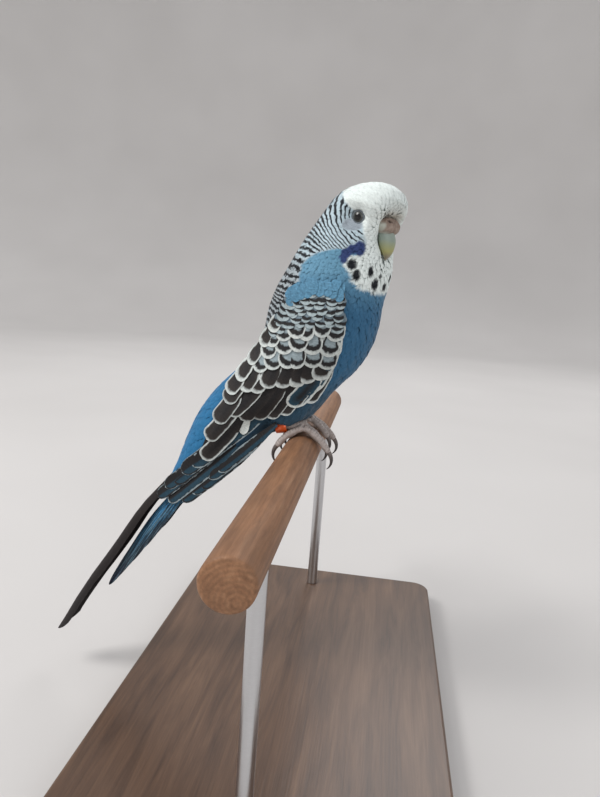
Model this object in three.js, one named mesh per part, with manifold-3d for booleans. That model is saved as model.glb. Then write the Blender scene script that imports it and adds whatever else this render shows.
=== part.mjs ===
// A budgerigar, life size, perched on a short length of dowel over a flat display base.
// Millimetres, +Z up. The bird faces +X with its right side towards -Y, and the dowel runs along Y.
// The origin is the middle of the base's underside. Bird measures are taken from the dowel's axis
// at the feet: x forward, z up.

import * as THREE from 'three';
import { mergeVertices } from 'three/addons/utils/BufferGeometryUtils.js';
import Module from 'manifold-3d';

const wasm = await Module();
wasm.setup();

// Driving dimensions

const PERCH_DIAMETER = 12.7;
const PERCH_HEIGHT = 104;
const PERCH_NEAR = -118;
const PERCH_FAR = 104;
const BASE = { length: 122, width: 196, thickness: 10, corner: 8, bevel: 1 };
const ROD_DIAMETER = 5;
const ROD_REACH = 82;
const RAD = Math.PI / 180;

// The gap between neighbouring parts, and the height at which feathered shells lie on the body.
const GAP = 0.3;
const LIFT = 0.7;

// The head is turned to the bird's right, about an upright axis through the skull.
const HEAD = { at: [13.5, 83.5], turn: -30 };

// Rounded forms that melt into one body: [x, z] of the middle, then half sizes along the body,
// across it and through it, and the slope of the long axis in degrees.
const BODY_FORMS = {
  breast: { at: [4.2, 45.5], size: [26, 16.5, 19.0], slope: 68 },
  mantle: { at: [-1, 55], size: [24, 14, 13.5], slope: 65 },
  belly: { at: [-8.5, 25.5], size: [24, 15, 15.2], slope: 56 },
  vent: { at: [-3.4, 19.6], size: [13, 11, 8.3], slope: 48 },
  rump: { at: [-28, 8.5], size: [26, 11.5, 12.1], slope: 56 },
  tailRoot: { at: [-40.5, -11], size: [20, 7.5, 7.6], slope: 60 },
  neck: { at: [9.3, 66], size: [18, 13.5, 16.8], slope: 70 },
  nape: { at: [9.3, 76], size: [14, 11.5, 11.6], slope: 58, turn: HEAD.turn / 2 },
};

// Forms of the head, in the head's own frame: [forward, up] from the middle of the skull.
const HEAD_FORMS = {
  skull: { at: [0.5, -2], size: [12, 11.6, 11.5], slope: 0 },
  crown: { at: [4.4, 3.4], size: [12, 12, 8.6], slope: 0 },
  brow: { at: [9, 4.2], size: [8, 9.5, 6.8], slope: 0 },
  mask: { at: [2.9, -9], size: [8, 10.8, 11], slope: 0 },
  bib: { at: [3.0, -17.5], size: [8.2, 10.5, 8.8], slope: 0 },
};
const FORM_BLEND = 5;

// Hollows of the head: the one that the bill and cere sit in, and one round each eye.
const HOLLOWS = {
  face: { at: [16.2, -5.4], size: [6.4, 8.2, 8], slope: 0, blend: 2.2 },
  rightEye: { at: [6.6, -0.4], y: -14.2, size: [5.6, 4.8, 4.2], slope: 0, blend: 3 },
  leftEye: { at: [6.6, -0.4], y: 14.2, size: [5.6, 4.8, 4.2], slope: 0, blend: 3 },
};

// Where the meshed surface is looked for: a line through the body, from the tail to the skull.
const SPINE = [[-43, -15], [-28, 8], [-10, 26], [3, 46], [7.5, 62], [12, 76], [14.5, 84]];

// How finely each surface is faceted.
const FACETS = {
  body: { rings: 26, caps: 6, sides: 24 },
  eye: { round: 12, down: 8 },
  cere: { round: 14, down: 9 },
  bill: { along: 7, round: 10 },
  wing: { along: 15, across: 6 },
  flight: { along: 11, across: 3 },
  tailCentre: { along: 12, across: 4 },
  tailSide: { along: 10, round: 8 },
  thigh: { round: 12, down: 9 },
  shank: { along: 5, round: 9 },
  toe: { along: 7, round: 6 },
  claw: { along: 6, round: 6 },
  ring: { round: 18 },
  dowel: { round: 24 },
  rod: { round: 16 },
  corner: { round: 3 },
};

// Cuts between the flesh parts: a point on the cut and the slope of the body there.
const CUTS = {
  rump: { at: [-27, 6], slope: 56 },
  neck: { at: [4.5, 57], slope: 74 },
  head: { at: [10, 71.5], slope: 62 },
};

const EYE = { at: [5.6, 7.9, 0.1], radius: 2.7 };
const CERE = { at: [12, -2.2], halfSize: [3.2, 5, 3.05], cleft: { depth: 0.15, width: 0.3 } };

// The bill in the head's frame: [forward, up] along its middle line, half width and half depth.
const BILL_UPPER = [
  { at: [11.4, -4.6], half: [3.6, 2.4] },
  { at: [12.0, -6.6], half: [3.7, 2.7] },
  { at: [12.3, -8.6], half: [3.3, 2.5] },
  { at: [12.5, -10.4], half: [2.4, 1.9] },
  { at: [12.3, -12.0], half: [1.3, 1.1] },
  { at: [11.8, -13.4], half: [0.3, 0.3] },
];
const BILL_LOWER = [
  { at: [7.8, -8.2], half: [2.6, 1.5] },
  { at: [8.6, -9.6], half: [2.7, 1.6] },
  { at: [9.2, -11.0], half: [2.2, 1.2] },
  { at: [9.6, -12.0], half: [1.2, 0.6] },
];

// Wing edges as seen from the side, from the bend back to the tips: [x, z].
const WING_UPPER = [
  [7, 57], [-2, 54], [-11, 47.5], [-19.5, 38], [-25.5, 29], [-31, 15], [-35.5, 3], [-38.5, -6],
];
const WING_LOWER = [
  [12.3, 52], [12, 43], [9.9, 34], [5, 26], [-4, 17.5], [-14, 12.5], [-25, 6], [-36.5, -5.5],
];

// A side shell's thickness in the middle and at its edge, and its least distances from the middle
// plane: at the upper edge, and at the lower edge in front and behind.
const WING = { middle: 3.0, edge: 0.8, clear: { top: 2.5, front: 14.4, back: 8.5 } };
const SHELL_SWELL = { start: 0.12, end: 0.92 };

// The long flight feathers below the wing's hem, from the wrist to the tip.
const FLIGHT_UPPER = [
  [-3.5, 16.6], [-13.5, 11.8], [-24.6, 5.2], [-36, -6.4], [-46, -16.4], [-55.5, -25.2],
];
const FLIGHT_LOWER = [
  [-4.5, 12.3], [-13.6, 0.3], [-26.4, -11.0], [-37.4, -21.8], [-46.8, -28.8], [-55.9, -26.8],
];
const FLIGHT = { middle: 1.5, edge: 0.6, clear: { top: 15, front: 15.4, back: 5 } };

// Tail feathers: middle line [x, z], half width across the bird and how far the vane arches down.
const TAIL_CENTRE = [
  { at: [-48, -13.5], half: 1.5, arch: 1.2 },
  { at: [-55, -23.5], half: 4.2, arch: 3.6 },
  { at: [-62, -33], half: 4.6, arch: 4.4 },
  { at: [-72.2, -50], half: 4.6, arch: 4.6 },
  { at: [-84.6, -69.2], half: 4.2, arch: 4.6 },
  { at: [-92.5, -81.5], half: 3.0, arch: 3.4 },
  { at: [-97.6, -89], half: 0.5, arch: 0.6 },
];
const TAIL_SIDE = [
  { at: [-46, -22], half: 1.6 },
  { at: [-53.5, -31.5], half: 3.2 },
  { at: [-59.6, -41], half: 3.4 },
  { at: [-65.2, -51], half: 2.9 },
  { at: [-70.4, -60], half: 1.9 },
  { at: [-74, -66], half: 0.5 },
];
const TAIL_SIDE_OFFSET = { root: 3.4, tip: 2.2 };
const TAIL_SIDE_TILT = 52;
const BLADE = { halfThickness: 0.55, edgeShare: 0.5, innerShare: 0.96 };

// Legs and feet, for the side at -Y: the thigh's form, the shank's ends and the toes.
const FOOT_Y = 9;
const THIGH = { at: [-4.4, 16.2], size: [10.5, 5.0, 6.2], slope: 44, y: 8.9 };
const SHANK = { heel: [-13.2, 7.75], joint: [1.4, 10.6], radius: 1.35, knuckle: 1.75 };
const RING = { along: 0.37, innerRadius: 1.95, outerRadius: 2.4, length: 4.1 };

// A toe winds round the dowel: [degrees above the horizontal in front, distance from the axis].
const TOES = [
  { name: 'outer_front', side: -2.0, route: [[86, 9.6], [66, 8.6], [45, 8.5], [24, 9.1], [6, 10.5]] },
  { name: 'inner_front', side: 2.2, route: [[86, 9.6], [64, 8.4], [40, 8.1], [17, 8.6]] },
  { name: 'outer_back', side: -3.2, route: [[88, 9.6], [110, 8.3], [134, 8.15], [152, 8.3], [167, 9.0]] },
  { name: 'inner_back', side: 3.2, route: [[88, 9.6], [110, 8.3], [132, 8.15], [149, 8.3]] },
];
const TOE = {
  rootRadius: 1.5,
  tipRadius: 1.15,
  spread: { root: 0.66, tip: 1.02 },
  knuckles: { count: 2.5, depth: 0.05 },
};
const CLAW = { length: 6.6, radius: 0.85, tip: 0.12, width: 0.8, hook: 96, bendPower: 1.3, taper: 0.75 };

const DOWEL_CHAMFER = 0.8;

const COLOURS = {
  white: 0xe9ece6,
  barred: 0x8e96a0,
  blue: 0x3f86c4,
  wing: 0x4a4643,
  flight: 0x2a2c30,
  cere: 0xa58572,
  bill: 0xa9b08a,
  eye: 0x0c0b0c,
  skin: 0xb9b0ae,
  claw: 0x3a3232,
  ring: 0xd9481f,
  dowel: 0xa87f5c,
  baseWood: 0x5b3d2a,
  steel: 0x9a9da0,
};

function finish(colour, roughness, metalness = 0) {
  return new THREE.MeshStandardMaterial({ color: colour, roughness, metalness });
}

// Curves and closed meshes

function planePoint([x, z], y = 0) {
  return new THREE.Vector3(x, y, z);
}

function smoothLine(points) {
  return new THREE.CatmullRomCurve3(points.map((point) => planePoint(point)), false, 'centripetal');
}

function clamp01(value) {
  return Math.min(1, Math.max(0, value));
}

function meshFromRings(rings, startPoint, endPoint) {
  const sides = rings[0].length;
  const positions = [];
  for (const ring of rings) {
    for (const point of ring) {
      positions.push(point.x, point.y, point.z);
    }
  }
  const start = positions.length / 3;
  positions.push(startPoint.x, startPoint.y, startPoint.z);
  const end = start + 1;
  positions.push(endPoint.x, endPoint.y, endPoint.z);
  const index = [];
  for (let ring = 0; ring + 1 < rings.length; ring += 1) {
    for (let side = 0; side < sides; side += 1) {
      const next = (side + 1) % sides;
      const a = ring * sides + side;
      const b = ring * sides + next;
      index.push(a, b, a + sides, b, b + sides, a + sides);
    }
  }
  const last = (rings.length - 1) * sides;
  for (let side = 0; side < sides; side += 1) {
    const next = (side + 1) % sides;
    index.push(start, next, side);
    index.push(end, last + side, last + next);
  }
  return closedGeometry(positions, index);
}

function closedGeometry(positions, index) {
  let volume = 0;
  const a = new THREE.Vector3();
  const b = new THREE.Vector3();
  const c = new THREE.Vector3();
  for (let i = 0; i < index.length; i += 3) {
    a.fromArray(positions, index[i] * 3);
    b.fromArray(positions, index[i + 1] * 3);
    c.fromArray(positions, index[i + 2] * 3);
    volume += a.dot(b.cross(c));
  }
  const facing = volume < 0 ? index.slice().reverse() : index;
  const geometry = new THREE.BufferGeometry();
  geometry.setAttribute('position', new THREE.Float32BufferAttribute(positions, 3));
  geometry.setIndex(facing);
  return geometry;
}

function pathAlong(curve, steps) {
  return Array.from({ length: steps + 1 }, (_, i) => curve.getPoint(i / steps));
}

// A tube whose section is a list of [across, through] points, carried along a path in the XZ plane.
function loft(path, section) {
  const rings = path.map((point, i) => {
    const before = path[Math.max(0, i - 1)];
    const after = path[Math.min(path.length - 1, i + 1)];
    const along = after.clone().sub(before).normalize();
    const across = new THREE.Vector3(0, 1, 0);
    const through = along.clone().cross(across).normalize();
    return section(i / (path.length - 1)).map(([u, v]) => (
      point.clone().addScaledVector(across, u).addScaledVector(through, v)
    ));
  });
  return meshFromRings(rings, path[0], path[path.length - 1]);
}

function ovalSection(halfAcross, halfThrough, sides) {
  return Array.from({ length: sides }, (_, i) => {
    const angle = (2 * Math.PI * i) / sides;
    return [halfAcross * Math.cos(angle), halfThrough * Math.sin(angle)];
  });
}

// Values of a station list, read anywhere along it.
function stationReader(stations, key) {
  const values = stations.map((station) => [].concat(station[key]));
  return (t) => {
    const place = clamp01(t) * (values.length - 1);
    const low = Math.min(values.length - 2, Math.floor(place));
    const part = place - low;
    const eased = (part + THREE.MathUtils.smoothstep(part, 0, 1)) / 2;
    return values[low].map((value, k) => THREE.MathUtils.lerp(value, values[low + 1][k], eased));
  };
}

// Joining and cutting

const BLOCK_SIZE = 260;

function toSolid(geometry) {
  const plain = geometry.clone();
  plain.deleteAttribute('normal');
  plain.deleteAttribute('uv');
  const merged = mergeVertices(plain, 1e-5);
  return new wasm.Manifold(new wasm.Mesh({
    numProp: 3,
    vertProperties: new Float32Array(merged.attributes.position.array),
    triVerts: new Uint32Array(merged.index.array),
  }));
}

function toGeometry(solid) {
  const mesh = solid.getMesh();
  const geometry = new THREE.BufferGeometry();
  geometry.setAttribute('position', new THREE.Float32BufferAttribute(mesh.vertProperties, 3));
  geometry.setIndex(Array.from(mesh.triVerts));
  return geometry;
}

function largestPiece(solid) {
  return solid.decompose().reduce((best, piece) => (piece.volume() > best.volume() ? piece : best));
}

// Everything on one side of a cut, as a large block. side is +1 towards the head.
function blockBeyond(cut, side) {
  const block = new THREE.BoxGeometry(BLOCK_SIZE, BLOCK_SIZE, BLOCK_SIZE);
  block.translate(side * (BLOCK_SIZE / 2 + GAP / 2), 0, 0);
  block.rotateY(-cut.slope * RAD);
  block.translate(cut.at[0], 0, cut.at[1]);
  return toSolid(block);
}

// The body's shape, as a distance from its surface

const headMatrix = new THREE.Matrix4()
  .makeRotationZ(HEAD.turn * RAD)
  .setPosition(HEAD.at[0], 0, HEAD.at[1]);

function placedForm(form, inHead) {
  const { at, size, slope, turn = 0, y = 0, blend = FORM_BLEND } = form;
  const sloped = new THREE.Matrix4().makeRotationY(-slope * RAD);
  const placed = new THREE.Matrix4().makeRotationZ(turn * RAD).multiply(sloped);
  placed.setPosition(at[0], y, at[1]);
  if (inHead) {
    placed.premultiply(headMatrix);
  }
  return { inverse: placed.invert(), size, blend };
}

const forms = [
  ...Object.values(BODY_FORMS).map((form) => placedForm(form, false)),
  ...Object.values(HEAD_FORMS).map((form) => placedForm(form, true)),
];
const hollows = Object.values(HOLLOWS).map((form) => placedForm(form, true));
const SEARCH_REACH = 45;
const SEARCH_STEPS = 26;
const scratch = new THREE.Vector3();

function formDistance(form, point) {
  scratch.copy(point).applyMatrix4(form.inverse);
  const [a, b, c] = form.size;
  const near = Math.hypot(scratch.x / a, scratch.y / b, scratch.z / c);
  const steep = Math.hypot(scratch.x / a ** 2, scratch.y / b ** 2, scratch.z / c ** 2) + 1e-9;
  return (near * (near - 1)) / steep;
}

function smoothUnion(first, second, blend) {
  const share = clamp01(0.5 + (0.5 * (first - second)) / blend);
  return first * (1 - share) + second * share - blend * share * (1 - share);
}

function bodyDistance(point) {
  let distance = formDistance(forms[0], point);
  for (const form of forms.slice(1)) {
    distance = smoothUnion(distance, formDistance(form, point), form.blend);
  }
  for (const hollow of hollows) {
    distance = -smoothUnion(-distance, formDistance(hollow, point), hollow.blend);
  }
  return distance;
}

function surfaceAlong(origin, direction, level) {
  let low = 0;
  let high = SEARCH_REACH;
  const probe = new THREE.Vector3();
  for (let step = 0; step < SEARCH_STEPS; step += 1) {
    const middle = (low + high) / 2;
    probe.copy(origin).addScaledVector(direction, middle);
    if (bodyDistance(probe) < level) {
      low = middle;
    } else {
      high = middle;
    }
  }
  return origin.clone().addScaledVector(direction, low);
}

// The body's surface, or one a given level outside it, as rings round the spine with domed ends.
function bodyGeometry(level) {
  const { rings: ringCount, caps, sides } = FACETS.body;
  const spine = smoothLine(SPINE);
  const rings = [];
  const ringAt = (origin, along, lean) => {
    const across = new THREE.Vector3(0, 1, 0);
    const through = along.clone().cross(across).normalize();
    rings.push(Array.from({ length: sides }, (_, side) => {
      const angle = (2 * Math.PI * side) / sides;
      const direction = across.clone().multiplyScalar(Math.cos(angle) * Math.cos(lean))
        .addScaledVector(through, Math.sin(angle) * Math.cos(lean))
        .addScaledVector(along, Math.sin(lean));
      return surfaceAlong(origin, direction, level);
    }));
  };
  const tail = spine.getPointAt(0);
  const tailAlong = spine.getTangentAt(0);
  const skull = spine.getPointAt(1);
  const skullAlong = spine.getTangentAt(1);
  for (let cap = caps - 1; cap > 0; cap -= 1) {
    ringAt(tail, tailAlong, (-90 * RAD * cap) / caps);
  }
  for (let step = 0; step < ringCount; step += 1) {
    const t = step / (ringCount - 1);
    ringAt(spine.getPointAt(t), spine.getTangentAt(t), 0);
  }
  for (let cap = 1; cap < caps; cap += 1) {
    ringAt(skull, skullAlong, (90 * RAD * cap) / caps);
  }
  const first = surfaceAlong(tail, tailAlong.clone().negate(), level);
  const last = surfaceAlong(skull, skullAlong, level);
  return meshFromRings(rings, first, last);
}

// A feathered shell that lies on the bird's right side between two edges seen from the side.
function sideShell(upperEdge, lowerEdge, { middle, edge, clear }, facets) {
  const { along: rows, across: columns } = facets;
  const upper = smoothLine(upperEdge);
  const lower = smoothLine(lowerEdge);
  const inner = [];
  const outer = [];
  const outwards = new THREE.Vector3(0, -1, 0);
  for (let row = 0; row <= rows; row += 1) {
    const top = upper.getPoint(row / rows);
    const bottom = lower.getPoint(row / rows);
    for (let column = 0; column <= columns; column += 1) {
      const across = column / columns;
      const foot = top.clone().lerp(bottom, across);
      const swell = THREE.MathUtils.lerp(SHELL_SWELL.start, SHELL_SWELL.end, row / rows);
      const crown = Math.sqrt(Math.sin(Math.PI * across)) * Math.sin(Math.PI * swell);
      const thickness = THREE.MathUtils.lerp(edge, middle, crown);
      const lifted = surfaceAlong(foot, outwards, LIFT);
      const lowest = THREE.MathUtils.lerp(clear.front, clear.back, row / rows);
      const least = Math.min(lowest, clear.top) + Math.max(0, lowest - clear.top) * across ** 2;
      const inside = Math.min(lifted.y, -least);
      const raised = surfaceAlong(foot, outwards, LIFT + thickness);
      const outside = Math.min(raised.y, inside - thickness);
      inner.push(new THREE.Vector3(foot.x, inside, foot.z));
      outer.push(new THREE.Vector3(foot.x, outside, foot.z));
    }
  }
  return sheetGeometry(inner, outer, rows, columns);
}

// A closed sheet between two grids of points.
function sheetGeometry(inner, outer, rows, columns) {
  const positions = [...inner, ...outer].flatMap((point) => point.toArray());
  const width = columns + 1;
  const index = [];
  const quad = (a, b, c, d) => index.push(a, b, c, a, c, d);
  const low = (row, column) => row * width + column;
  const high = (row, column) => inner.length + low(row, column);
  for (let row = 0; row < rows; row += 1) {
    for (let column = 0; column < columns; column += 1) {
      quad(low(row, column), low(row, column + 1), low(row + 1, column + 1), low(row + 1, column));
      quad(high(row, column), high(row + 1, column), high(row + 1, column + 1), high(row, column + 1));
    }
    quad(low(row, 0), low(row + 1, 0), high(row + 1, 0), high(row, 0));
    quad(low(row, columns), high(row, columns), high(row + 1, columns), low(row + 1, columns));
  }
  for (let column = 0; column < columns; column += 1) {
    quad(low(0, column), high(0, column), high(0, column + 1), low(0, column + 1));
    quad(low(rows, column), low(rows, column + 1), high(rows, column + 1), high(rows, column));
  }
  return closedGeometry(positions, index);
}

function mirrored(geometry) {
  const positions = Array.from(geometry.attributes.position.array);
  for (let i = 1; i < positions.length; i += 3) {
    positions[i] = -positions[i];
  }
  return closedGeometry(positions, Array.from(geometry.index.array));
}

// The finished bird and its stand are collected in one group.

const model = new THREE.Group();
const bird = new THREE.Group();
bird.position.z = PERCH_HEIGHT;
model.add(bird);

function addPart(name, geometry, material, parent = bird) {
  const mesh = new THREE.Mesh(geometry, material);
  mesh.name = name;
  parent.add(mesh);
}

// Head, neck, trunk and rump

const SIDES = { right: -1, left: 1 };
const ringRoom = toSolid(ringRoomGeometry(SIDES.right));
const bodySolid = toSolid(bodyGeometry(0)).subtract(ringRoom);

function eyeGeometry(side, grow = 0) {
  const [forward, across, up] = EYE.at;
  const ball = new THREE.SphereGeometry(EYE.radius + grow, FACETS.eye.round, FACETS.eye.down);
  ball.rotateX(90 * RAD);
  ball.translate(forward, side * across, up);
  return ball;
}

// The cere is a ball of two lobes, with a shallow cleft down its front.
function cereGeometry(grow = 0) {
  const [forward, across, up] = CERE.halfSize.map((size) => size + grow);
  const { depth, width } = CERE.cleft;
  const ball = new THREE.SphereGeometry(1, FACETS.cere.round, FACETS.cere.down);
  const position = ball.attributes.position;
  for (let i = 0; i < position.count; i += 1) {
    const x = position.getX(i);
    const y = position.getY(i);
    const lobed = 1 - depth * Math.exp(-((y / width) ** 2)) * Math.max(0, x);
    position.setXYZ(i, x * forward * lobed, y * across, position.getZ(i) * up);
  }
  ball.translate(CERE.at[0], 0, CERE.at[1]);
  return ball;
}

function billGeometry(stations, grow = 0) {
  const line = smoothLine(stations.map((station) => station.at));
  const half = stationReader(stations, 'half');
  const path = pathAlong(line, FACETS.bill.along);
  path[0].addScaledVector(line.getTangent(0), -grow);
  path[path.length - 1].addScaledVector(line.getTangent(1), grow);
  return loft(path, (t) => {
    const [across, through] = half(t);
    return ovalSection(across + grow, through + grow, FACETS.bill.round);
  });
}

function inHeadFrame(geometry) {
  return toSolid(geometry.clone().applyMatrix4(headMatrix));
}

const cere = inHeadFrame(cereGeometry());
const billUpper = inHeadFrame(billGeometry(BILL_UPPER)).subtract(inHeadFrame(cereGeometry(GAP)));
const billLower = inHeadFrame(billGeometry(BILL_LOWER))
  .subtract(inHeadFrame(billGeometry(BILL_UPPER, GAP)));

const faceSolids = [
  inHeadFrame(cereGeometry(GAP)),
  inHeadFrame(billGeometry(BILL_UPPER, GAP)),
  inHeadFrame(billGeometry(BILL_LOWER, GAP)),
  ...Object.values(SIDES).map((side) => inHeadFrame(eyeGeometry(side, GAP))),
];

let headSolid = bodySolid.intersect(blockBeyond(CUTS.head, 1));
for (const solid of faceSolids) {
  headSolid = headSolid.subtract(solid);
}
const neckSolid = bodySolid
  .intersect(blockBeyond(CUTS.neck, 1))
  .intersect(blockBeyond(CUTS.head, -1));
const trunkSolid = bodySolid
  .intersect(blockBeyond(CUTS.rump, 1))
  .intersect(blockBeyond(CUTS.neck, -1));
const rumpSolid = bodySolid.intersect(blockBeyond(CUTS.rump, -1));

addPart('head', toGeometry(headSolid), finish(COLOURS.white, 0.9));
addPart('neck', toGeometry(neckSolid), finish(COLOURS.barred, 0.9));
addPart('trunk', toGeometry(trunkSolid), finish(COLOURS.blue, 0.9));
addPart('rump', toGeometry(rumpSolid), finish(COLOURS.blue, 0.9));
addPart('cere', toGeometry(cere), finish(COLOURS.cere, 0.8));
addPart('bill_upper', toGeometry(billUpper), finish(COLOURS.bill, 0.45));
addPart('bill_lower', toGeometry(billLower), finish(COLOURS.bill, 0.45));
for (const [sideName, side] of Object.entries(SIDES)) {
  addPart(`eye_${sideName}`, toGeometry(inHeadFrame(eyeGeometry(side))), finish(COLOURS.eye, 0.1));
}

// Wings, flight feathers and tail

const bodyAndGap = toSolid(bodyGeometry(GAP));
const clearOfBody = (geometry) => toGeometry(largestPiece(toSolid(geometry).subtract(bodyAndGap)));
const wingRight = clearOfBody(sideShell(WING_UPPER, WING_LOWER, WING, FACETS.wing));
const flightRight = clearOfBody(sideShell(FLIGHT_UPPER, FLIGHT_LOWER, FLIGHT, FACETS.flight));

addPart('wing_right', wingRight, finish(COLOURS.wing, 0.85));
addPart('wing_left', mirrored(wingRight), finish(COLOURS.wing, 0.85));
addPart('flight_feathers_right', flightRight, finish(COLOURS.flight, 0.7));
addPart('flight_feathers_left', mirrored(flightRight), finish(COLOURS.flight, 0.7));

// The section of a blade that is arched like a roof, thinner towards its edges.
function archSection(half, arch) {
  const columns = FACETS.tailCentre.across;
  const outer = [];
  const inner = [];
  for (let i = 0; i <= columns; i += 1) {
    const u = (2 * i) / columns - 1;
    const middle = arch * (0.5 - u * u);
    const thickness = BLADE.halfThickness * (1 - BLADE.edgeShare * u * u);
    outer.push([u * half, middle + thickness]);
    inner.unshift([u * half * BLADE.innerShare, middle - thickness]);
  }
  return [...outer, ...inner];
}

function tailCentreGeometry() {
  const half = stationReader(TAIL_CENTRE, 'half');
  const arch = stationReader(TAIL_CENTRE, 'arch');
  const line = smoothLine(TAIL_CENTRE.map((station) => station.at));
  const path = pathAlong(line, FACETS.tailCentre.along);
  return loft(path, (t) => archSection(half(t)[0], arch(t)[0]));
}

function tailSideGeometry(side) {
  const half = stationReader(TAIL_SIDE, 'half');
  const tilt = side * TAIL_SIDE_TILT * RAD;
  const line = smoothLine(TAIL_SIDE.map((station) => station.at));
  return loft(pathAlong(line, FACETS.tailSide.along), (t) => {
    const offset = THREE.MathUtils.lerp(TAIL_SIDE_OFFSET.root, TAIL_SIDE_OFFSET.tip, t);
    const section = ovalSection(half(t)[0], BLADE.halfThickness, FACETS.tailSide.round);
    return section.map(([u, v]) => [
      side * offset + u * Math.cos(tilt) + v * Math.sin(tilt),
      v * Math.cos(tilt) - u * Math.sin(tilt),
    ]);
  });
}

addPart('tail_centre', clearOfBody(tailCentreGeometry()), finish(COLOURS.flight, 0.6));
for (const [sideName, side] of Object.entries(SIDES)) {
  const blade = clearOfBody(tailSideGeometry(side));
  addPart(`tail_side_${sideName}`, blade, finish(COLOURS.blue, 0.6));
}

// Legs, feet, claws and the leg ring

function thighSolid(side) {
  const ball = new THREE.SphereGeometry(1, FACETS.thigh.round, FACETS.thigh.down);
  ball.scale(...THIGH.size);
  ball.rotateY(-THIGH.slope * RAD);
  ball.translate(THIGH.at[0], side * THIGH.y, THIGH.at[1]);
  return toSolid(ball);
}

function polarPoint([degrees, distance], y) {
  return new THREE.Vector3(distance * Math.cos(degrees * RAD), y, distance * Math.sin(degrees * RAD));
}

function toeCurve(toe, side) {
  const y = side * FOOT_Y;
  const points = toe.route.map((stop, i) => {
    const spread = THREE.MathUtils.lerp(TOE.spread.root, TOE.spread.tip, i / (toe.route.length - 1));
    return polarPoint(stop, y - side * toe.side * spread);
  });
  return new THREE.CatmullRomCurve3(points, false, 'centripetal');
}

function tubeGeometry(curve, radiusAt, facets) {
  const path = pathAlong(curve, facets.along);
  return loft(path, (t) => ovalSection(radiusAt(t), radiusAt(t), facets.round));
}

function toeSolid(toe, side) {
  const { count, depth } = TOE.knuckles;
  const radiusAt = (t) => {
    const knuckles = 1 + depth * Math.cos(t * count * 2 * Math.PI);
    return THREE.MathUtils.lerp(TOE.rootRadius, TOE.tipRadius, t) * knuckles;
  };
  return toSolid(tubeGeometry(toeCurve(toe, side), radiusAt, FACETS.toe));
}

function shankCurve(side) {
  const y = side * FOOT_Y;
  return new THREE.LineCurve3(planePoint(SHANK.heel, y), planePoint(SHANK.joint, y));
}

function shankSolid(side, grow = 0) {
  const radiusAt = (t) => THREE.MathUtils.lerp(SHANK.radius, SHANK.knuckle, t ** 4) + grow;
  return toSolid(tubeGeometry(shankCurve(side), radiusAt, FACETS.shank));
}

function footSolid(side) {
  let foot = shankSolid(side);
  for (const toe of TOES) {
    foot = foot.add(toeSolid(toe, side));
  }
  return foot;
}

// The claw carries on from the toe's end and hooks down and back under it.
function clawGeometry(toe, side) {
  const curve = toeCurve(toe, side);
  const forward = toe.route[1][0] < toe.route[0][0] ? 1 : -1;
  const heading = curve.getTangent(1);
  const point = curve.getPoint(1).addScaledVector(heading, GAP);
  const steps = FACETS.claw.along;
  const path = [point.clone()];
  for (let step = 1; step <= steps; step += 1) {
    const turned = heading.clone();
    const bend = CLAW.hook * RAD * ((step - 0.5) / steps) ** CLAW.bendPower * forward;
    turned.applyAxisAngle(new THREE.Vector3(0, 1, 0), bend);
    point.addScaledVector(turned, CLAW.length / steps);
    path.push(point.clone());
  }
  return loft(path, (t) => {
    const radius = CLAW.radius * (1 - t) ** CLAW.taper + CLAW.tip;
    return ovalSection(radius * CLAW.width, radius, FACETS.claw.round);
  });
}

function legRingGeometry(side) {
  const half = RING.length / 2;
  const profile = [
    new THREE.Vector2(RING.innerRadius, -half),
    new THREE.Vector2(RING.outerRadius, -half),
    new THREE.Vector2(RING.outerRadius, half),
    new THREE.Vector2(RING.innerRadius, half),
    new THREE.Vector2(RING.innerRadius, -half),
  ];
  return aroundShank(new THREE.LatheGeometry(profile, FACETS.ring.round), side);
}

// The room that the feathers leave for the ring.
function ringRoomGeometry(side) {
  const radius = RING.outerRadius + GAP;
  const length = RING.length + 2 * GAP;
  const room = new THREE.CylinderGeometry(radius, radius, length, FACETS.ring.round);
  return aroundShank(room, side);
}

function aroundShank(band, side) {
  const curve = shankCurve(side);
  const turn = new THREE.Quaternion().setFromUnitVectors(new THREE.Vector3(0, 1, 0), curve.getTangent(0));
  band.applyQuaternion(turn);
  const middle = curve.getPoint(RING.along);
  band.translate(middle.x, middle.y, middle.z);
  return band;
}

for (const [sideName, side] of Object.entries(SIDES)) {
  const foot = footSolid(side);
  let thigh = thighSolid(side).subtract(bodyAndGap).subtract(shankSolid(side, GAP));
  if (side === SIDES.right) {
    thigh = thigh.subtract(ringRoom);
  }
  addPart(`leg_${sideName}`, toGeometry(largestPiece(thigh)), finish(COLOURS.blue, 0.9));
  addPart(`foot_${sideName}`, toGeometry(foot.subtract(bodyAndGap)), finish(COLOURS.skin, 0.65));
  for (const toe of TOES) {
    addPart(`claw_${sideName}_${toe.name}`, clawGeometry(toe, side), finish(COLOURS.claw, 0.35));
  }
}
addPart('ring_right', legRingGeometry(SIDES.right), finish(COLOURS.ring, 0.35));

// Dowel and display stand

function dowelGeometry() {
  const radius = PERCH_DIAMETER / 2;
  const length = PERCH_FAR - PERCH_NEAR;
  const profile = [
    new THREE.Vector2(0, 0),
    new THREE.Vector2(radius - DOWEL_CHAMFER, 0),
    new THREE.Vector2(radius, DOWEL_CHAMFER),
    new THREE.Vector2(radius, length - DOWEL_CHAMFER),
    new THREE.Vector2(radius - DOWEL_CHAMFER, length),
    new THREE.Vector2(0, length),
  ];
  const dowel = new THREE.LatheGeometry(profile, FACETS.dowel.round);
  dowel.translate(0, PERCH_NEAR, 0);
  return dowel;
}

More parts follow.
